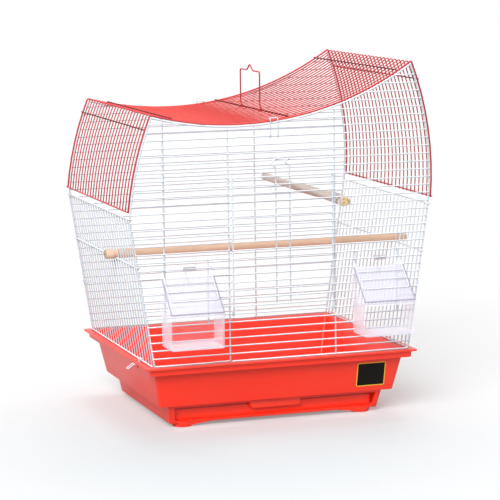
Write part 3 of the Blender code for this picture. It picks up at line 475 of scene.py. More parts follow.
def arc(start, end, bulge, steps):
    """Points of an arc in X and Z that leaves its chord by bulge to the left."""
    start, end = Vector(start), Vector(end)
    half = (end - start).length / 2
    along = (end - start).normalized()
    left = Vector((-along.y, along.x))
    radius = (half * half + bulge * bulge) / (2 * abs(bulge))
    sign = 1 if bulge > 0 else -1
    centre = (start + end) / 2 + left * (bulge - sign * radius)
    reach = math.asin(half / radius)
    return [centre + radius * (along * math.sin(t) + left * sign * math.cos(t))
            for t in (reach * (2 * k / steps - 1) for k in range(steps + 1))]


def round_tip(first, tip, last, steps):
    """Points of a smooth bend from first to last round a tip."""
    return [first.lerp(tip, t).lerp(tip.lerp(last, t), t)
            for t in (k / steps for k in range(steps + 1))]


def bent(path, size, steps=5):
    """Rounds each corner of a wire's path over a length of size to either side."""
    path = [Vector(p) for p in path]
    rounded = [path[0]]
    for before, tip, after in zip(path, path[1:], path[2:]):
        if (tip - before).angle(after - tip) < 0.1:
            rounded.append(tip)
            continue
        first = tip + (before - tip).normalized() * min(size, (tip - before).length * 0.48)
        last = tip + (after - tip).normalized() * min(size, (after - tip).length * 0.48)
        rounded += round_tip(first, tip, last, steps)
    return rounded + [path[-1]]


def offset(points, distance):
    """An outline moved to its left, with mitred corners."""
    moved = []
    for k, point in enumerate(points):
        ways = []
        if k > 0:
            ways.append((point - points[k - 1]).normalized())
        if k < len(points) - 1:
            ways.append((points[k + 1] - point).normalized())
        sides = [Vector((-way.y, way.x)) for way in ways]
        normal = sum(sides, Vector((0, 0))).normalized()
        moved.append(point + normal * distance / normal.dot(sides[0]))
    return moved


def wave_outline():
    """The roof rim's path in X and Z: left apron, wave, right apron."""
    left_foot, left_peak = Vector((-233.5, 329)) * MM, Vector((-198.5, 468)) * MM
    right_peak, right_foot = Vector((205, 533.7)) * MM, Vector((235.5, 329)) * MM
    path = arc(left_foot, left_peak, 5.2 * MM, 6)
    wave = arc(left_peak, right_peak, -44.87 * MM, 36)
    fall = arc(right_peak, right_foot, 11.8 * MM, 8)
    peaks = []
    for first, second in ((path, wave), (wave, fall)):
        tip = second[0]
        before = tip + (first[-2] - tip).normalized() * PEAK_BEND
        after = tip + (second[1] - tip).normalized() * PEAK_BEND
        peaks.append(round_tip(before, tip, after, 6))
    return path[:-1] + peaks[0] + wave[1:-1] + peaks[1] + fall[1:]


def drawn(path, radius):
    """One wire: its points with the wire's radius at each, its two ends rounded off."""
    path = [Vector(p) for p in path]
    first, last = ([(end + (inner - end).normalized() * radius * a, radius * b)
                    for a, b in ((0, 0.45), (0.12, 0.75), (0.34, 0.93), (0.62, 1))]
                   for end, inner in ((path[0], path[1]), (path[-1], path[-2])))
    return first + [(p, radius) for p in path[1:-1]] + last[::-1]


def fillet(at, along):
    """The coating's fillet at a weld, a flat bead between two wires."""
    at, along = Vector(at), Vector(along).normalized()
    return [(at + along * a * MM, b * MM)
            for a, b in ((-0.95, 0.3), (-0.6, 0.95), (0, 1.32), (0.6, 0.95), (0.95, 0.3))]


def fresh_piece(name, guide):
    """A new object for a curve."""
    piece = bpy.data.objects.new(name, guide)
    bpy.context.scene.collection.objects.link(piece)
    return piece


def meshed(name, guide, angle):
    """Turns a curve into a mesh piece, shaded smooth."""
    select_only(fresh_piece(name, guide))
    bpy.ops.object.convert(target="MESH")
    piece = bpy.context.object
    smooth(piece, angle)
    return piece


def wire_piece(name, strands, *finishes, sides=10, second=()):
    """One mesh of round tubes along strands of points and radii. Strands numbered in second
    take the second finish."""
    guide = bpy.data.curves.new(name, "CURVE")
    guide.dimensions = "3D"
    guide.bevel_depth = MM
    guide.bevel_resolution = (sides - 4) // 2
    guide.use_fill_caps = True
    for finish in finishes:
        guide.materials.append(finish)
    for k, strand in enumerate(strands):
        spline = guide.splines.new("POLY")
        spline.material_index = int(k in second)
        spline.points.add(len(strand) - 1)
        for point, (place, radius) in zip(spline.points, strand):
            point.co = (*place, 1)
            point.radius = radius / MM
    return meshed(name, guide, 50)


def powder_coat(name, colour, shade_and_dust_colour, roughness, painted_light=None, specular=0.5):
    """Powder coat on wire: painted shade towards the underside, orange peel, broad patches of
    dust, small chips. The optional pair says how far the coat is painted paler as painted light,
    and to what."""
    finish, place, shader = start_material(name)
    # Painted shade: each wire darkens towards its underside. Dust and chips take the same darker
    # colour.
    under = 1 - place.node("TexCoord", out="Normal").part(2).above(-0.5, 0.9)
    peel = noise(place, 1900.0, 2.0)
    dust = noise(place, 26.0, 4.0, 0.6)
    chip = noise(place, 420.0, 2.0).above(0.72, 0.78)
    coat = (under * 0.9 + dust * 0.2 + chip * 0.2 - 0.1).blend(colour, shade_and_dust_colour)
    # Painted light: the coat turns paler where the optional pair's mask is high.
    if painted_light:
        coat = painted_light[0](place).blend(coat, painted_light[1])
    feed(shader, place, Base_Color=coat, Specular_IOR_Level=specular,
         Roughness=roughness + peel * 0.1 + chip * 0.12,
         Normal=bumps(place, peel, 0.35, 0.00009))
    return finish


white_coat = powder_coat("white_powder_coat", (0.86, 0.89, 0.92, 1), (0.36, 0.40, 0.46, 1), 0.3)
ROOF = wave_outline()
BORDER = ([Vector((-SIDE_FOOT_X, row_z(0))), Vector((-SHOULDER_X, SHOULDER_Z))]
          + offset(ROOF, -RIM_INSET)
          + [Vector((SHOULDER_X, SHOULDER_Z)), Vector((SIDE_FOOT_X, row_z(0)))])


def border_at(level, axis):
    """Where the border crosses a level: X values at a height, or heights at an X."""
    found = []
    for a, b in zip(BORDER, BORDER[1:]):
        if (a[axis] - level) * (b[axis] - level) < 0:
            share = (level - a[axis]) / (b[axis] - a[axis])
            found.append(a[1 - axis] + (b[1 - axis] - a[1 - axis]) * share)
    return sorted(found)


def row_stretches(k, gaps):
    """Stretches of the k-th row between the border's sides, broken at the gaps."""
    places = border_at(row_z(k), 1)
    kept = [s for s in zip(places[::2], places[1::2]) if s[1] - s[0] > 24 * MM]
    for (first, last), low, high in gaps:
        if first < k < last:
            parts = []
            for a, b in kept:
                if a < low:
                    parts.append((a, min(b, low + 0.8 * MM)))
                if b > high:
                    parts.append((max(a, high - 0.8 * MM), b))
            kept = parts
    return [(a - 0.5 * MM, b + 0.5 * MM) for a, b in kept]


def panel_strands(y, inward, gaps, posts, lap_x):
    """Rows, posts, border wire and weld fillets of a front or back panel."""
    strands = []
    post_y = y + inward * POST_LAYER
    border_y = y + inward * BORDER_LAYER
    for k in range(1, LAST_ROW + 1):
        for a, b in row_stretches(k, gaps):
            strands.append(drawn([(a, y, row_z(k)), (b, y, row_z(k))], ROW_R))
            for x in (a + 0.6 * MM, b - 0.6 * MM):
                strands.append(fillet((x, y + inward * MM, row_z(k)), (0, inward, 0)))
            for x, low, high in posts:
                if a - MM < x < b + MM and low < row_z(k) < high:
                    strands.append(fillet((x, y + inward * MM, row_z(k)), (0, inward, 0)))
    for x, low, high in posts:
        strands.append(drawn([(x, post_y, low), (x, post_y, high)], POST_R))
    bottom = row_z(0)
    ring = [(lap_x + LAP_HALF, border_y, bottom)]
    ring += [(p.x, border_y, p.y) for p in reversed(BORDER)]
    lap = border_y + inward * LAP_LAYER
    ring += [(lap_x - LAP_HALF - 10 * MM, border_y, bottom), (lap_x - LAP_HALF, lap, bottom),
             (lap_x + LAP_HALF, lap, bottom)]
    strands.append(drawn(bent(ring, 3.5 * MM), BORDER_R))
    return strands


gaps = [(DOOR_ROWS, -DOOR_POST_X, DOOR_POST_X)]
gaps += [(FEEDER_ROWS, centre - FEEDER_OPENING_HALF, centre + FEEDER_OPENING_HALF)
         for centre, side in FEEDERS]
posts = [(x, row_z(0), border_at(x, 0)[-1]) for x in (-DOOR_POST_X, DOOR_POST_X)]
low, high = row_z(POST_ROWS[0]) - MM, row_z(POST_ROWS[1]) + MM
posts.append((-OUTER_POST_X, low, border_at(-OUTER_POST_X, 0)[-1]))
posts += [(x, low, high) for x in (-SHORT_POST_X, SHORT_POST_X, OUTER_POST_X)]
front = wire_piece("front_wires", panel_strands(FRONT, 1, gaps, posts, -92 * MM), white_coat)
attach(front, "cage_body")
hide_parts("front_panel")

# ---------------------------------------------------------------- Back panel
# The same welding as the front, with unbroken rows and only two tall posts. They stand a little
# nearer each other than the front's, so that the photo shows each pair as one line.
BACK_POST_X = 77 * MM

posts = [(x, row_z(0), border_at(x, 0)[-1]) for x in (-BACK_POST_X, BACK_POST_X)]
back = wire_piece("back_wires", panel_strands(BACK, -1, [], posts, 60 * MM), white_coat)
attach(back, "cage_body")
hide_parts("back_panel")

# --------------------------------------------------------------- Side panels
# Each leaning side has 23 uprights on three cross wires. The ends of the upper two cross wires
# curl round the border wires, which is what holds front, back and sides together.
UPRIGHT_R = 0.9 * MM
SIDE_PITCHES = 24
SIDE_FOOT_Z = 102 * MM
LOWER_CROSS_Z, UPPER_CROSS_Z = row_z(12.5), row_z(18.5)
SIDES = ((-1, "left"), (1, "right"))


def eye(centre, radius, start, sweep, steps=18):
    """Points of a round eye in two axes, angles counted from the first towards the second."""
    return [Vector((centre[0] + radius * math.cos(start + sweep * k / steps),
                    centre[1] + radius * math.sin(start + sweep * k / steps)))
            for k in range(steps + 1)]


def side_x(z):
    """Distance of the leaning sides from the middle at a height."""
    lean = (SHOULDER_X - SIDE_FOOT_X) / (SHOULDER_Z - row_z(0))
    return SIDE_FOOT_X + lean * (z - row_z(0))


def side_wire_y(j):
    """Depth of the j-th upright."""
    return FRONT + BODY_DEPTH * j / SIDE_PITCHES


def curled_cross(side, z):
    """A cross wire whose ends go round the border wires of front and back."""
    x = side_x(z)
    reach = BORDER_R + POST_R + 0.3 * MM
    end = [(POST_LAYER, 11 * MM), (reach, 6 * MM)]
    end += eye((0, BORDER_LAYER), reach, 0, -math.pi, 9)
    end.append((-reach, BORDER_LAYER + 2.5 * MM))
    front_end = [(side * (x + out), FRONT + deep, z) for out, deep in end]
    back_end = [(side * (x + out), BACK - deep, z) for out, deep in end]
    return drawn(front_end[::-1] + back_end, POST_R)


for side, name in SIDES:
    strands = [curled_cross(side, LOWER_CROSS_Z), curled_cross(side, UPPER_CROSS_Z)]
    low, high = SIDE_FOOT_Z - MM, UPPER_CROSS_Z + MM
    x = side * (side_x(SIDE_FOOT_Z) + POST_LAYER)
    strands.append(drawn([(x, FRONT + 6 * MM, SIDE_FOOT_Z), (x, BACK - 6 * MM, SIDE_FOOT_Z)],
                         POST_R))
    for j in range(1, SIDE_PITCHES):
        y = side_wire_y(j)
        strands.append(drawn([(side * side_x(low), y, low), (side * side_x(high), y, high)],
                             UPRIGHT_R))
        for z in (SIDE_FOOT_Z, LOWER_CROSS_Z, UPPER_CROSS_Z):
            strands.append(fillet((side * (side_x(z) + MM), y, z), (side, 0, 0)))
    panel = wire_piece(name + "_side_wires", strands, white_coat)
    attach(panel, "cage_body")
    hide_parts(name + "_side_panel")

# ------------------------------------------------------------------ Wave roof
# One welded piece in coral powder coat: two 2.6 mm rims and 22 long wires that follow the wave
# and its two aprons, under seven cross wires. The coat is painted paler in the wave's hollow as
# painted light, and darker on the five cross wires over it as painted shade.
CROSS_R = 0.9 * MM
LONG_WIRE_R = 0.88 * MM
ROOF_CROSSES = (0.002, 0.1573, 0.22775, 0.46075, 0.69675, 0.768, 0.998)
ROOF_PITCHES = 23
HOLLOW_X, HOLLOW_TOP = -50 * MM, 466 * MM


def light_in_hollow(place):
    """How far the coat is painted paler in the wave's hollow, as painted light."""
    hollow = 1 - abs(place.part(0) - HOLLOW_X).above(70 * MM, 150 * MM)
    return hollow * (1 - place.part(2).above(HOLLOW_TOP, HOLLOW_TOP + 10 * MM)) * 0.28


coral_coat = powder_coat("coral_powder_coat", (0.74, 0.036, 0.036, 1), (0.17, 0.003, 0.018, 1),
                         0.32, painted_light=(light_in_hollow, (0.98, 0.10, 0.055, 1)))
shaded_coat = powder_coat("coral_coat_in_shade", (0.22, 0.008, 0.014, 1),
                          (0.10, 0.002, 0.006, 1), 0.5, specular=0.2)


def roof_wire_y(j):
    """Depth of the j-th long wire, the rims counted."""
    return FRONT + BORDER_LAYER + (BODY_DEPTH - 2 * BORDER_LAYER) * j / ROOF_PITCHES


def place_on(points, share):
    """Point and outward normal at a share of an outline's length."""
    lengths = [(b - a).length for a, b in zip(points, points[1:])]
    left = share * sum(lengths)
    for k, length in enumerate(lengths):
        if left <= length or k == len(lengths) - 1:
            way = (points[k + 1] - points[k]).normalized()
            return points[k] + way * left, Vector((-way.y, way.x))
        left -= length


strands = []
crosses = []
for j in range(ROOF_PITCHES + 1):
    radius = BORDER_R if j in (0, ROOF_PITCHES) else LONG_WIRE_R
    strands.append(drawn([(p.x, roof_wire_y(j), p.y) for p in ROOF], radius))
for share in ROOF_CROSSES:
    point, outward = place_on(ROOF, share)
    at = point + outward * POST_LAYER
    radius = POST_R
    if 0.1 < share < 0.9:
        radius = CROSS_R
        crosses.append(len(strands))
    strands.append(drawn([(at.x, roof_wire_y(0) - 0.8 * MM, at.y),
                          (at.x, roof_wire_y(ROOF_PITCHES) + 0.8 * MM, at.y)], radius))
    weld = point + outward * MM
    for j in range(ROOF_PITCHES + 1):
        strands.append(fillet((weld.x, roof_wire_y(j), weld.y), (outward.x, 0, outward.y)))
roof = wire_piece("wave_roof_wires", strands, coral_coat, shaded_coat, second=crosses)
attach(roof, "cage_body")
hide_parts("left_roof_apron", "left_roof_wave", "middle_roof_wave",
            "right_roof_wave", "right_roof_shoulder", "right_roof_apron")

# ----------------------------------------------------------- Drop-down door
# Seventeen rows on two edge wires, which curl round a row of the panel as hinge eyes, and a
# bent latch wire up the middle whose top springs over the row above the opening.
EYE_R = 2.6 * MM
EYE_SWEEP = math.radians(256)
DOOR_HALF = 77.5 * MM
DOOR_PATH_Y = FRONT - EYE_R
LATCH_LEG = 10.8                        # mm
LATCH = [(-LATCH_LEG, -200.25), (-LATCH_LEG, 0), (-12.3, 3), (-17.3, 4), (-18.3, 7),
         (-13.8, 12), (-5.8, 15), (7.8, 16), (10.8, 15), (4.3, 9.5), (4.8, 6.5), (9.8, 5.5),
         (LATCH_LEG, 2), (LATCH_LEG, -200.75)]  # mm, from the row over the opening

ring = eye((FRONT, row_z(DOOR_ROWS[0])), EYE_R, math.pi, EYE_SWEEP)
strands = []
for x in (-DOOR_HALF, DOOR_HALF):
    top = (x, DOOR_PATH_Y, row_z(DOOR_ROWS[1] - 1) + MM)
    strands.append(drawn([top] + [(x, *p) for p in ring], POST_R))
strands.append(drawn(bent([(a * MM, DOOR_PATH_Y, row_z(DOOR_ROWS[1]) + b * MM)
                           for a, b in LATCH], 2 * MM), ROW_R))
for k in range(DOOR_ROWS[0] + 1, DOOR_ROWS[1]):
    ends = (-DOOR_HALF - 0.8 * MM, DOOR_HALF + 0.8 * MM)
    strands.append(drawn([(x, DOOR_PATH_Y - POST_LAYER, row_z(k)) for x in ends], ROW_R))
    for x in (-DOOR_HALF, -LATCH_LEG * MM, LATCH_LEG * MM, DOOR_HALF):
        strands.append(fillet((x, DOOR_PATH_Y - MM, row_z(k)), (0, 1, 0)))
door = wire_piece("drop_down_door", strands, white_coat)
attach(door, "door")
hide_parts("front_door", "left_door_eye", "right_door_eye")

# -------------------------------------------------------------- Feeder cups
# Clear polystyrene cups with rounded corners and a rim band. Two moulded hooks hang each one
# over a panel row, inside the cage. The plastic is nearly clear face on and bright at edges.
CUP_HALF = 41 * MM
CUP_FRONT, CUP_BACK = -207.4 * MM, -154.4 * MM
CUP_LOW, CUP_RIM = 133.6 * MM, 182.3 * MM
CUP_SECTIONS = [                        # half width, half depth and height, in mm
    (39, 24.9, 0), (39.5, 25.4, 0.5), (39.8, 25.7, 1.4), (40.3, 26, 45), (41, 26.5, 45.2),
    (41, 26.5, 48.4), (40.7, 26.2, 48.7), (39.1, 24.6, 48.7), (38.8, 24.3, 48.4),
    (38, 23.9, 4.5), (37, 22.9, 3)]
HOOK_X, HOOK_HALF = 20 * MM, 4 * MM


def clear_plastic(name, zones, walls, lip=0.0):
    """Clear, slightly lavender plastic. Zones are heights where light gathers in edges; a
    leaning face is greyer lavender and less clear, with darker lines along its sides and its foot
    at lip."""
    finish, place, shader = start_material(name)
    height = place.part(2)
    from_side = CUP_HALF - abs(abs(place.part(0)) - FEEDERS[1][0])
    edge = 1 - from_side.above(0.3 * MM, 2.6 * MM)
    for zone, reach in zones:
        edge = edge.maths("MAXIMUM", 1 - abs(height - zone).above(0.5 * MM, reach))
    edge = edge * walls
    normal = place.node("TexCoord", out="Normal")
    lean = abs(normal.part(1) * normal.part(2)).above(0.25, 0.4)
    line = lean * (1 - from_side.above(2.0 * MM, 3.0 * MM)).maths(
        "MAXIMUM", 1 - (height - lip).above(1.0 * MM, 2.0 * MM))
    facing = place.node("LayerWeight", {}, {"Blend": 0.35}, out="Facing") ** 2.0
    haze = noise(place, 60.0, 3.0) * 0.03
    clear = lean.blend((0.93, 0.90, 0.98, 1), (0.69, 0.69, 0.80, 1))
    # The faint emission is painted light: the clear plastic glows a little.
    feed(shader, place, Roughness=0.08 + haze,
         Base_Color=line.blend(clear, (0.30, 0.27, 0.38, 1)),
         Emission_Color=(0.9, 0.88, 1.0, 1), Emission_Strength=0.06,
         Alpha=(0.008 + haze + facing * 0.55 + edge * 0.29 + lean * 0.30
                + line * 0.4).maths("MINIMUM", 0.93),
         Normal=bumps(place, noise(place, 45.0, 2.0), 0.08, 0.0006))
    return finish


cup_plastic = clear_plastic("clear_cup", [(CUP_RIM - 1.4 * MM, 2.6 * MM),
                                          (CUP_LOW + 1.4 * MM, 3.4 * MM)], 1.0)
for centre, side in FEEDERS:
    foot = Vector((centre, (CUP_FRONT + CUP_BACK) / 2, CUP_LOW))
    cup = rounded_plate(side + "_cup", foot, [v * MM for v in CUP_SECTIONS[0][:2]], 3 * MM, 6)
    grow_up(foot, CUP_SECTIONS)
    close_up()
    over = row_z(FEEDER_ROWS[0]) + ROW_R + 0.3 * MM
    for x in (centre - HOOK_X, centre + HOOK_X):
        hook = block("hook", (x - HOOK_HALF, CUP_BACK - 1.2 * MM, over),
                     (x + HOOK_HALF, FRONT + 2.8 * MM, over + 2 * MM))
        tongue = block("tongue",
                       (x - HOOK_HALF, FRONT + 1.4 * MM, row_z(FEEDER_ROWS[0]) - 3 * MM),
                       (x + HOOK_HALF, FRONT + 2.8 * MM, over + 1 * MM))
        cut_with(hook, tongue, "UNION")
        round_edges(hook, 0.35 * MM, 50)
        cut_with(cup, hook, "UNION")
    smooth(cup, 35)
    only_finish(cup, cup_plastic)
    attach(cup, "cage_body")
    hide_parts(side + "_feeder_cup")

# ------------------------------------------------------------- Feeder hoods
# A clear wedge over each cup: triangular cheeks, a sloping front with a low lip, open below and
# behind. The wire flap presses it onto the cup's rim.
HOOD_FOOT, HOOD_TOP = 182.6 * MM, 231.6 * MM
HOOD_LIP = 185.3 * MM
HOOD_RIDGE_Y = CUP_BACK - 5 * MM
HOOD_WALL = 1.6 * MM

hood_plastic = clear_plastic("clear_hood", [(HOOD_TOP - 0.8 * MM, 2.0 * MM),
                                            (HOOD_FOOT + 0.5 * MM, 2.6 * MM)], 0.3,
                             HOOD_LIP)
for centre, side in FEEDERS:
    hood = block(side + "_hood", (centre - CUP_HALF, CUP_FRONT, HOOD_FOOT),
                 (centre + CUP_HALF, CUP_BACK, HOOD_TOP))
    pick(hood, "EDGE", lambda edge: all(v.co.y < -200 * MM and v.co.z > 220 * MM
                                        for v in edge.verts))
    bpy.ops.transform.translate(value=(0, 0, HOOD_LIP - HOOD_TOP))
    pick(hood, "FACE", lambda face: face.normal.z > 0.3)
    bpy.ops.mesh.bisect(plane_co=(0, HOOD_RIDGE_Y, 0), plane_no=(0, 1, 0))
    pick(hood, "VERT", lambda v: abs(v.co.y - HOOD_RIDGE_Y) < 0.5 * MM and v.co.z > 200 * MM)
    bpy.ops.transform.resize(value=(1, 1, 0), center_override=(0, 0, HOOD_TOP))
    bevel_where(hood, lambda edge: abs(span(edge).x) < 1 * MM
                and middle_of(edge).z > HOOD_FOOT + 1 * MM
                and middle_of(edge).y < CUP_BACK - 1 * MM, 1.5 * MM, 4)
    pick(hood, "FACE", lambda face: face.normal.z < -0.9 or face.normal.y > 0.9)
    bpy.ops.mesh.delete(type="FACE")
    modifier(hood, "SOLIDIFY", thickness=HOOD_WALL, offset=-1)
    smooth(hood, 35)
    only_finish(hood, hood_plastic)
    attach(hood, "cage_body")
    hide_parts(side + "_feeder_hood")

# -------------------------------------------------------------- Feeder flaps
# A U of 1.7 mm wire with two thinner bars. Its ends curl round a panel row as eyes, and its foot
# rests on the hood's sloping front.
HINGE = Vector((FRONT, 243.3 * MM))
DOWN = Vector((-0.7213, -0.6927))
OUT = Vector((-0.6927, 0.7213))
FLAP_LENGTH, FLAP_HALF = 56 * MM, 36.5 * MM
FLAP_R = 0.85 * MM
BAR_R = 0.75 * MM
BARS = (25 * MM, 40 * MM)               # down from the hinge


def bail(arms, radius, size, steps=5):
    """One wire with an eye at each end: each arm is its eye, then the rest of its points."""
    (first_eye, first), (last_eye, last) = arms
    bow = bent([first_eye[-1], *first, *last[::-1], last_eye[-1]], size, steps)
    return drawn(first_eye[:-1] + bow + last_eye[-2::-1], radius)


start = math.atan2(-OUT.y, -OUT.x)
ring = eye(HINGE, EYE_R, start, EYE_SWEEP)[::-1]
foot = HINGE - OUT * EYE_R + DOWN * FLAP_LENGTH
for centre, side in FEEDERS:
    legs = (centre - FLAP_HALF, centre + FLAP_HALF)
    strands = [bail([([Vector((x, *p)) for p in ring], [(x, *foot)]) for x in legs],
                    FLAP_R, 5 * MM, 7)]
    for down in BARS:
        at = HINGE - OUT * (EYE_R - 1.7 * MM) + DOWN * down
        ends = (legs[0] - 1.1 * MM, legs[1] + 1.1 * MM)
        strands.append(drawn([(x, *at) for x in ends], BAR_R))
        weld = HINGE - OUT * (EYE_R - 0.9 * MM) + DOWN * down
        strands += [fillet((x, *weld), (0, *OUT)) for x in legs]
    flap = wire_piece(side + "_flap", strands, white_coat)
    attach(flap, side + "_flap")
    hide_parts(side + "_feeder_flap")

# -------------------------------------------------------------- Flap springs
# A torsion spring of 0.84 mm bright wire wound round the hinge row: one arm presses on the flap,
# the other bears on the rows above.
SPRING_R = 0.42 * MM
COIL_R = 3 * MM
COIL_START, COIL_WIDTH = -4.5, 18       # mm, from the cup's middle
TURNS, TURN_STEPS = 11, 20


def bright_steel(name, tint):
    """Drawn spring wire: bright, with fine draw lines and a little oil in patches."""
    finish, place, shader = start_material(name)
    oil = noise(place, 130.0, 3.0)
    lines = noise(place, 900.0, 2.0, 0.5, (0.2, 1.0, 1.0))
    feed(shader, place, Metallic=0.95, Base_Color=oil.blend(tint, (0.70, 0.70, 0.74, 1)),
         Roughness=0.24 + lines * 0.12 + oil * 0.08,
         Normal=bumps(place, lines, 0.2, 0.00004))
    return finish


spring_steel = bright_steel("spring_steel", (0.60, 0.61, 0.68, 1))
start = math.atan2(OUT.y, -OUT.x)
for centre, side in FEEDERS:
    coil = []
    for k in range(TURNS * TURN_STEPS + 1):
        share = k / (TURNS * TURN_STEPS)
        turn = start + (math.tau * TURNS - start) * share
        coil.append(Vector((centre + (COIL_START + COIL_WIDTH * share) * MM,
                            HINGE.x - COIL_R * math.cos(turn),
                            HINGE.y + COIL_R * math.sin(turn))))
    arm = HINGE + DOWN * 27 * MM
    arm += OUT * (2 * MM - EYE_R + ROW_R + SPRING_R + 0.3 * MM)
    bear = (FRONT - ROW_R - SPRING_R - 0.4 * MM, HINGE.y + 16.5 * MM)
    path = [Vector((coil[0].x, *arm))] + coil + [Vector((coil[-1].x, *bear))]
    spring = wire_piece(side + "_spring", [drawn(path, SPRING_R)], spring_steel)
    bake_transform(spring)
    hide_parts(side + "_flap_spring")

# ---------------------------------------------------------------- Long perch
# A 14 mm beech dowel through both sides, turned down to a neck where the side wires pass it,
# so that it can't slide. Its ends are chamfered and show end grain.
PERCH_Y, PERCH_Z = -42.375 * MM, 255.875 * MM
PERCH_HALF = 240 * MM
DOWEL_R, NECK_R = 7.0, 5.2              # mm


def wood(name, along, dark, pale, end, half):
    """Sanded wood: fibres along one axis, darker pores, rings and a dull end grain."""
    finish, place, shader = start_material(name)
    stretch = tuple(0.035 if k == along else 1.0 for k in range(3))
    fibres = noise(place, 520.0, 4.0, 0.6, stretch)
    pores = noise(place, 1500.0, 2.0, 0.5, stretch).above(0.60, 0.72)
    band = noise(place, 95.0, 3.0, 0.5, stretch)
    spread = noise(place, 9.0, 2.0)
    reach = abs(place.part(along) - half[0])
    cut = reach.above(half[1] - 1.4 * MM, half[1] - 0.2 * MM)
    shade = (fibres * 0.45 + band * 0.4 + spread * 0.3 - pores * 0.35).maths("MAXIMUM", 0.0)
    side = shade.blend(dark, pale)
    rings = noise(place, 300.0, 3.0).above(0.42, 0.60)
    end = rings.blend((*(0.5 * c for c in end[:3]), 1), end)
    feed(shader, place, Base_Color=cut.blend(side, end),
         Roughness=0.52 + fibres * 0.14 + cut * 0.2,
         Normal=bumps(place, fibres - pores * 0.6, 0.3, 0.00018))
    return finish


neck = side_x(PERCH_Z) + 1 * MM
right = [(neck - 4.2 * MM, DOWEL_R), (neck - 3.2 * MM, NECK_R), (neck + 3.2 * MM, NECK_R),
         (neck + 4.2 * MM, DOWEL_R), (PERCH_HALF - 1.4 * MM, DOWEL_R),
         (PERCH_HALF - 0.3 * MM, 6.5), (PERCH_HALF, 5.9)]
profile = [(-x, r) for x, r in right[::-1]] + right
tip = Vector((-PERCH_HALF, PERCH_Y, PERCH_Z))
perch = primitive(bpy.ops.mesh.primitive_circle_add, "long_perch_dowel", vertices=40,
                  radius=profile[0][1] * MM, fill_type="NGON", location=tip,
                  rotation=(0, -math.pi / 2, 0))
bpy.ops.object.transform_apply(location=True, rotation=True, scale=True)
pick(perch, "FACE", lambda face: True)
grow(tip, [((b[0] - a[0], 0, 0), (1, b[1] / a[1], b[1] / a[1]))
           for a, b in zip(profile, profile[1:])])
close_up()
smooth(perch, 30)
perch.data.materials.append(wood("beech", 0, (0.50, 0.29, 0.18, 1), (0.80, 0.56, 0.41, 1),
                                 (0.60, 0.42, 0.28, 1), (0, PERCH_HALF)))
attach(perch, "cage_body")
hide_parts("long_perch")

# -------------------------------------------------------------- Carved perch
# A tapered stick of pale wood, whittled to a slowly turning three-sided section so that toes
# find different grips. It passes through front and back between two rows.
CARVED_X = 95 * MM
CARVED_Z = row_z(19) + ROW_R + 0.3 * MM + 4.3 * MM
SECTION_POINTS, STATIONS = 36, 48

section = bpy.data.curves.new("perch_section", "CURVE")
section.dimensions = "2D"
ring = section.splines.new("POLY")
ring.points.add(SECTION_POINTS - 1)
ring.use_cyclic_u = True
for k, point in enumerate(ring.points):
    angle = math.tau * k / SECTION_POINTS
    swell = (1 + 0.12 * math.cos(3 * angle)) * MM
    point.co = (swell * math.cos(angle), swell * math.sin(angle), 0, 1)
section = fresh_piece("perch_section", section)

stations = [(FRONT - 12 * MM, 4.9, 0), (FRONT - 11.4 * MM, 6.3, 0), (FRONT - 10 * MM, 7.0, 0),
            (FRONT - 2.6 * MM, 7.1, 0.1), (FRONT - 1.8 * MM, 4.1, 0.1),
            (FRONT + 1.8 * MM, 4.1, 0.1), (FRONT + 2.8 * MM, 7.1, 0.2)]
for k in range(1, STATIONS):
    share = k / STATIONS
    wave = 1 + 0.07 * math.sin(math.tau * 2.5 * share + 0.6) + 0.025 * math.sin(41 * share)
    stations.append((FRONT + 2 * MM + 350 * MM * share, (7.4 - 2.2 * share) * wave,
                     0.4 + 2.2 * share + 0.12 * math.sin(23 * share)))
stations += [(BACK - 2.2 * MM, 4.9, 2.6), (BACK - 1.6 * MM, 4.0, 2.6),
             (BACK + 1.6 * MM, 4.0, 2.6), (BACK + 2.2 * MM, 5.0, 2.6), (BACK + 4.2 * MM, 4.6, 2.6)]
guide = bpy.data.curves.new("carved_perch_stick", "CURVE")
guide.dimensions = "3D"
guide.bevel_mode = "OBJECT"
guide.bevel_object = section
guide.use_fill_caps = True
path = guide.splines.new("POLY")
path.points.add(len(stations) - 1)
for point, (y, radius, turn) in zip(path.points, stations):
    point.co = (CARVED_X, y, CARVED_Z, 1)
    point.radius = radius
    point.tilt = turn
stick = meshed("carved_perch_stick", guide, 40)
bpy.data.objects.remove(section)
stick.data.materials.append(wood("pale_wood", 1, (0.26, 0.20, 0.17, 1), (0.80, 0.70, 0.63, 1),
                                 (0.70, 0.50, 0.26, 1), (20.1 * MM, 185.2 * MM)))
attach(stick, "cage_body")
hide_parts("carved_perch")

# ------------------------------------------------------------ Carrying handle
# Coral-coated wire with a pointed top. Its two ends curl round the middle cross wire of the
# roof, on which it folds down to either side.
point, outward = place_on(ROOF, ROOF_CROSSES[3])
PIVOT = point + outward * POST_LAYER
HANDLE_EYE_R = 2.7 * MM
HANDLE_NECK, HANDLE_RISE = 6.4 * MM, 57 * MM  # over the hinge
POINT_HALF, POINT_RISE = 13.5 * MM, 9.5 * MM

top = PIVOT.y + HANDLE_RISE
ring = eye(PIVOT, HANDLE_EYE_R, -math.pi, math.radians(225), 15)
ring.append(Vector((PIVOT.x, PIVOT.y + HANDLE_NECK)))
arms = []
for end, j in ((-1, 8), (1, 14)):
    y = (roof_wire_y(j) + roof_wire_y(j + 1)) / 2
    arms.append((bent([(x, y, z) for x, z in ring], 2 * MM),
                 [(PIVOT.x, y, top), (PIVOT.x, MIDDLE + end * POINT_HALF, top)]))
arms[0][1].append((PIVOT.x, MIDDLE, top + POINT_RISE))
handle = wire_piece("carry_handle_wire", [bail(arms, POST_R, 4 * MM, 6)], coral_coat, sides=12)
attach(handle, "handle")
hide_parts("carry_handle")

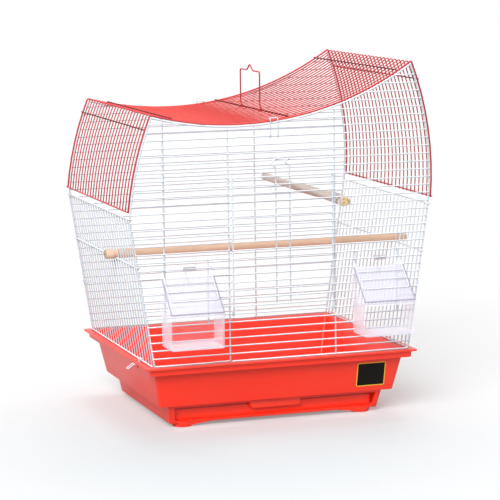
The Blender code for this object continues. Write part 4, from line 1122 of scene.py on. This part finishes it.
# ----------------------------------------------------------------- Roof clips
# A bail of 1.5 mm wire on a row at the middle of front and back. Its nose lies over the roof's
# rim and holds it down.
BAIL_R = 0.75 * MM
CLIP_X, CLIP_HALF = -12 * MM, 5.8 * MM
CLIP_ROW = 28


def rim_height(x):
    """Height of the roof rim's centre at an X on the wave."""
    for a, b in zip(ROOF, ROOF[1:]):
        if a.x < x <= b.x and a.y > 400 * MM:
            return a.y + (b.y - a.y) * (x - a.x) / (b.x - a.x)


over = max(rim_height(CLIP_X - CLIP_HALF), rim_height(CLIP_X + CLIP_HALF))
over += BORDER_R + 0.3 * MM + BAIL_R
tip = BORDER_LAYER + BORDER_R + 2 * MM
reach = ROW_R + BAIL_R + 0.3 * MM
ring = eye((0, row_z(CLIP_ROW)), reach, -EYE_SWEEP, EYE_SWEEP)
for face, y, body in ((-1, FRONT, "front_clip"), (1, BACK, "back_clip")):
    arms = [([Vector((x, y + face * p.x, p.y)) for p in ring],
             [(x, y + face * reach, over), (x, y - face * tip, over + 0.5 * MM)])
            for x in (CLIP_X - CLIP_HALF, CLIP_X + CLIP_HALF)]
    clip = wire_piece(body + "_wire", [bail(arms, BAIL_R, 2.2 * MM)], white_coat)
    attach(clip, body)
    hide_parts(body.split("_")[0] + "_roof_clip")

# --------------------------------------------------------------- Base latches
# A bail of 1.5 mm wire on each side panel's bottom wire. It passes through a slot in the
# flange and hooks under its edge, which holds the wire body on the tub.
PIN = Vector((200.4545, 102)) * MM
LATCH_EYE_R, LATCH_HALF = 2.4 * MM, 4 * MM
UNDER = 96.8 * MM

ring = eye(PIN, LATCH_EYE_R, math.radians(250), math.radians(-250), 25)
hook = [(PIN.x + 3 * MM, UNDER), (212.7 * MM, UNDER), (221.7 * MM, 90.3 * MM)]
for side, name in SIDES:
    arms = [([Vector((side * p.x, y, p.y)) for p in ring], [(side * x, y, z) for x, z in hook])
            for y in (LATCH_Y - LATCH_HALF, LATCH_Y + LATCH_HALF)]
    latch = wire_piece(name + "_latch_wire", [bail(arms, BAIL_R, 2 * MM)], white_coat)
    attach(latch, name + "_latch")
    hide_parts(name + "_base_latch")

# --------------------------------------------------------------- Corner links
# An open link of 1.5 mm bright wire at each back corner. It is bent round the side's last
# upright and the back panel's border wire, and ties them together.
LINK_Z, LINK_HALF = row_z(6.5), 2.7 * MM
border_y = BACK - BORDER_LAYER
wire_y = side_wire_y(SIDE_PITCHES - 1)
link = [(-LINK_HALF, border_y - 4 * MM), *eye((0, border_y), LINK_HALF, math.pi, -math.pi, 12),
        *eye((0, wire_y), LINK_HALF, 0, -math.pi, 12), (-LINK_HALF, wire_y + 3 * MM)]
for side, name in SIDES:
    path = [(side * (side_x(LINK_Z) + a), b, LINK_Z) for a, b in link]
    clip = wire_piece(name + "_corner_link", [drawn(path, BAIL_R)], spring_steel)
    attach(clip, "cage_body")
    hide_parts(name + "_corner_clip")

# --------------------------------------------------------------------- Studio
# A white sweep in soft light from every side, with one wide lamp from the front left above,
# and the photograph's long lens.
paper = bpy.data.materials.new("studio_paper")
paper.use_nodes = True
sheet = Value(paper.node_tree, None)
spot = sheet.node("TexCoord", out="Object")
tooth = noise(spot, 40.0)
seen = sheet.node("LightPath", out="Is Camera Ray")
shader = paper.node_tree.nodes["Principled BSDF"]
# Painted shadow: the paper is darker and cooler near the cage, which also takes out the tub's red
# bounce.
away = spot.node("VectorMath", {"operation": "DISTANCE"}, {0: spot, 1: (-0.1, -0.22, 0)}, out=1)
away = (away + tooth * 0.01).above(0.15, 0.6)
feed(shader, sheet, Base_Color=away.blend((0.465, 0.51, 0.527, 1), (0.555, 0.573, 0.577, 1)),
     Roughness=0.9, Specular_IOR_Level=0.0, Emission_Color=(1, 0.93, 0.92, 1),
     Emission_Strength=seen * 0.29)
floor = primitive(bpy.ops.mesh.primitive_plane_add, "studio_floor", size=60)
floor.data.materials.append(paper)

world = bpy.data.worlds.new("studio")
bpy.context.scene.world = world
world.use_nodes = True
sky = Value(world.node_tree, None)
lit = sky.node("LightPath", out="Is Camera Ray")
for ray in ("Is Glossy Ray", "Is Transmission Ray"):
    lit = lit.maths("MAXIMUM", sky.node("LightPath", out=ray))
background = world.node_tree.nodes["Background"]
background.inputs["Color"].default_value = (1, 1, 1, 1)
sky.tree.links.new((0.42 + lit * 0.58).socket, background.inputs["Strength"])

for name, lean, turn, energy, angle in (("front_lamp", 57, -35, 3.5, 34),
                                        ("top_lamp", 26, 155, 1.0, 30)):
    deselect()
    bpy.ops.object.light_add(type="SUN", rotation=(math.radians(lean), 0, math.radians(turn)))
    lamp = bpy.context.object
    lamp.name = name
    lamp.data.energy = energy
    lamp.data.angle = math.radians(angle)

bpy.ops.object.camera_add()
camera = bpy.context.object
camera.name = "photo_camera"
camera.data.lens = 164.46
camera.data.sensor_width = 36
camera.data.dof.use_dof = False
camera.matrix_world = (Matrix.Translation((-1.10415, -3.27967, 0.74032))
                       @ Matrix.Rotation(math.radians(-18.618), 4, "Z")
                       @ Matrix.Rotation(math.radians(90 - 8.184), 4, "X")
                       @ Matrix.Rotation(math.radians(-0.714), 4, "Z"))
bpy.context.scene.camera = camera
bpy.context.scene.view_settings.view_transform = "Standard"
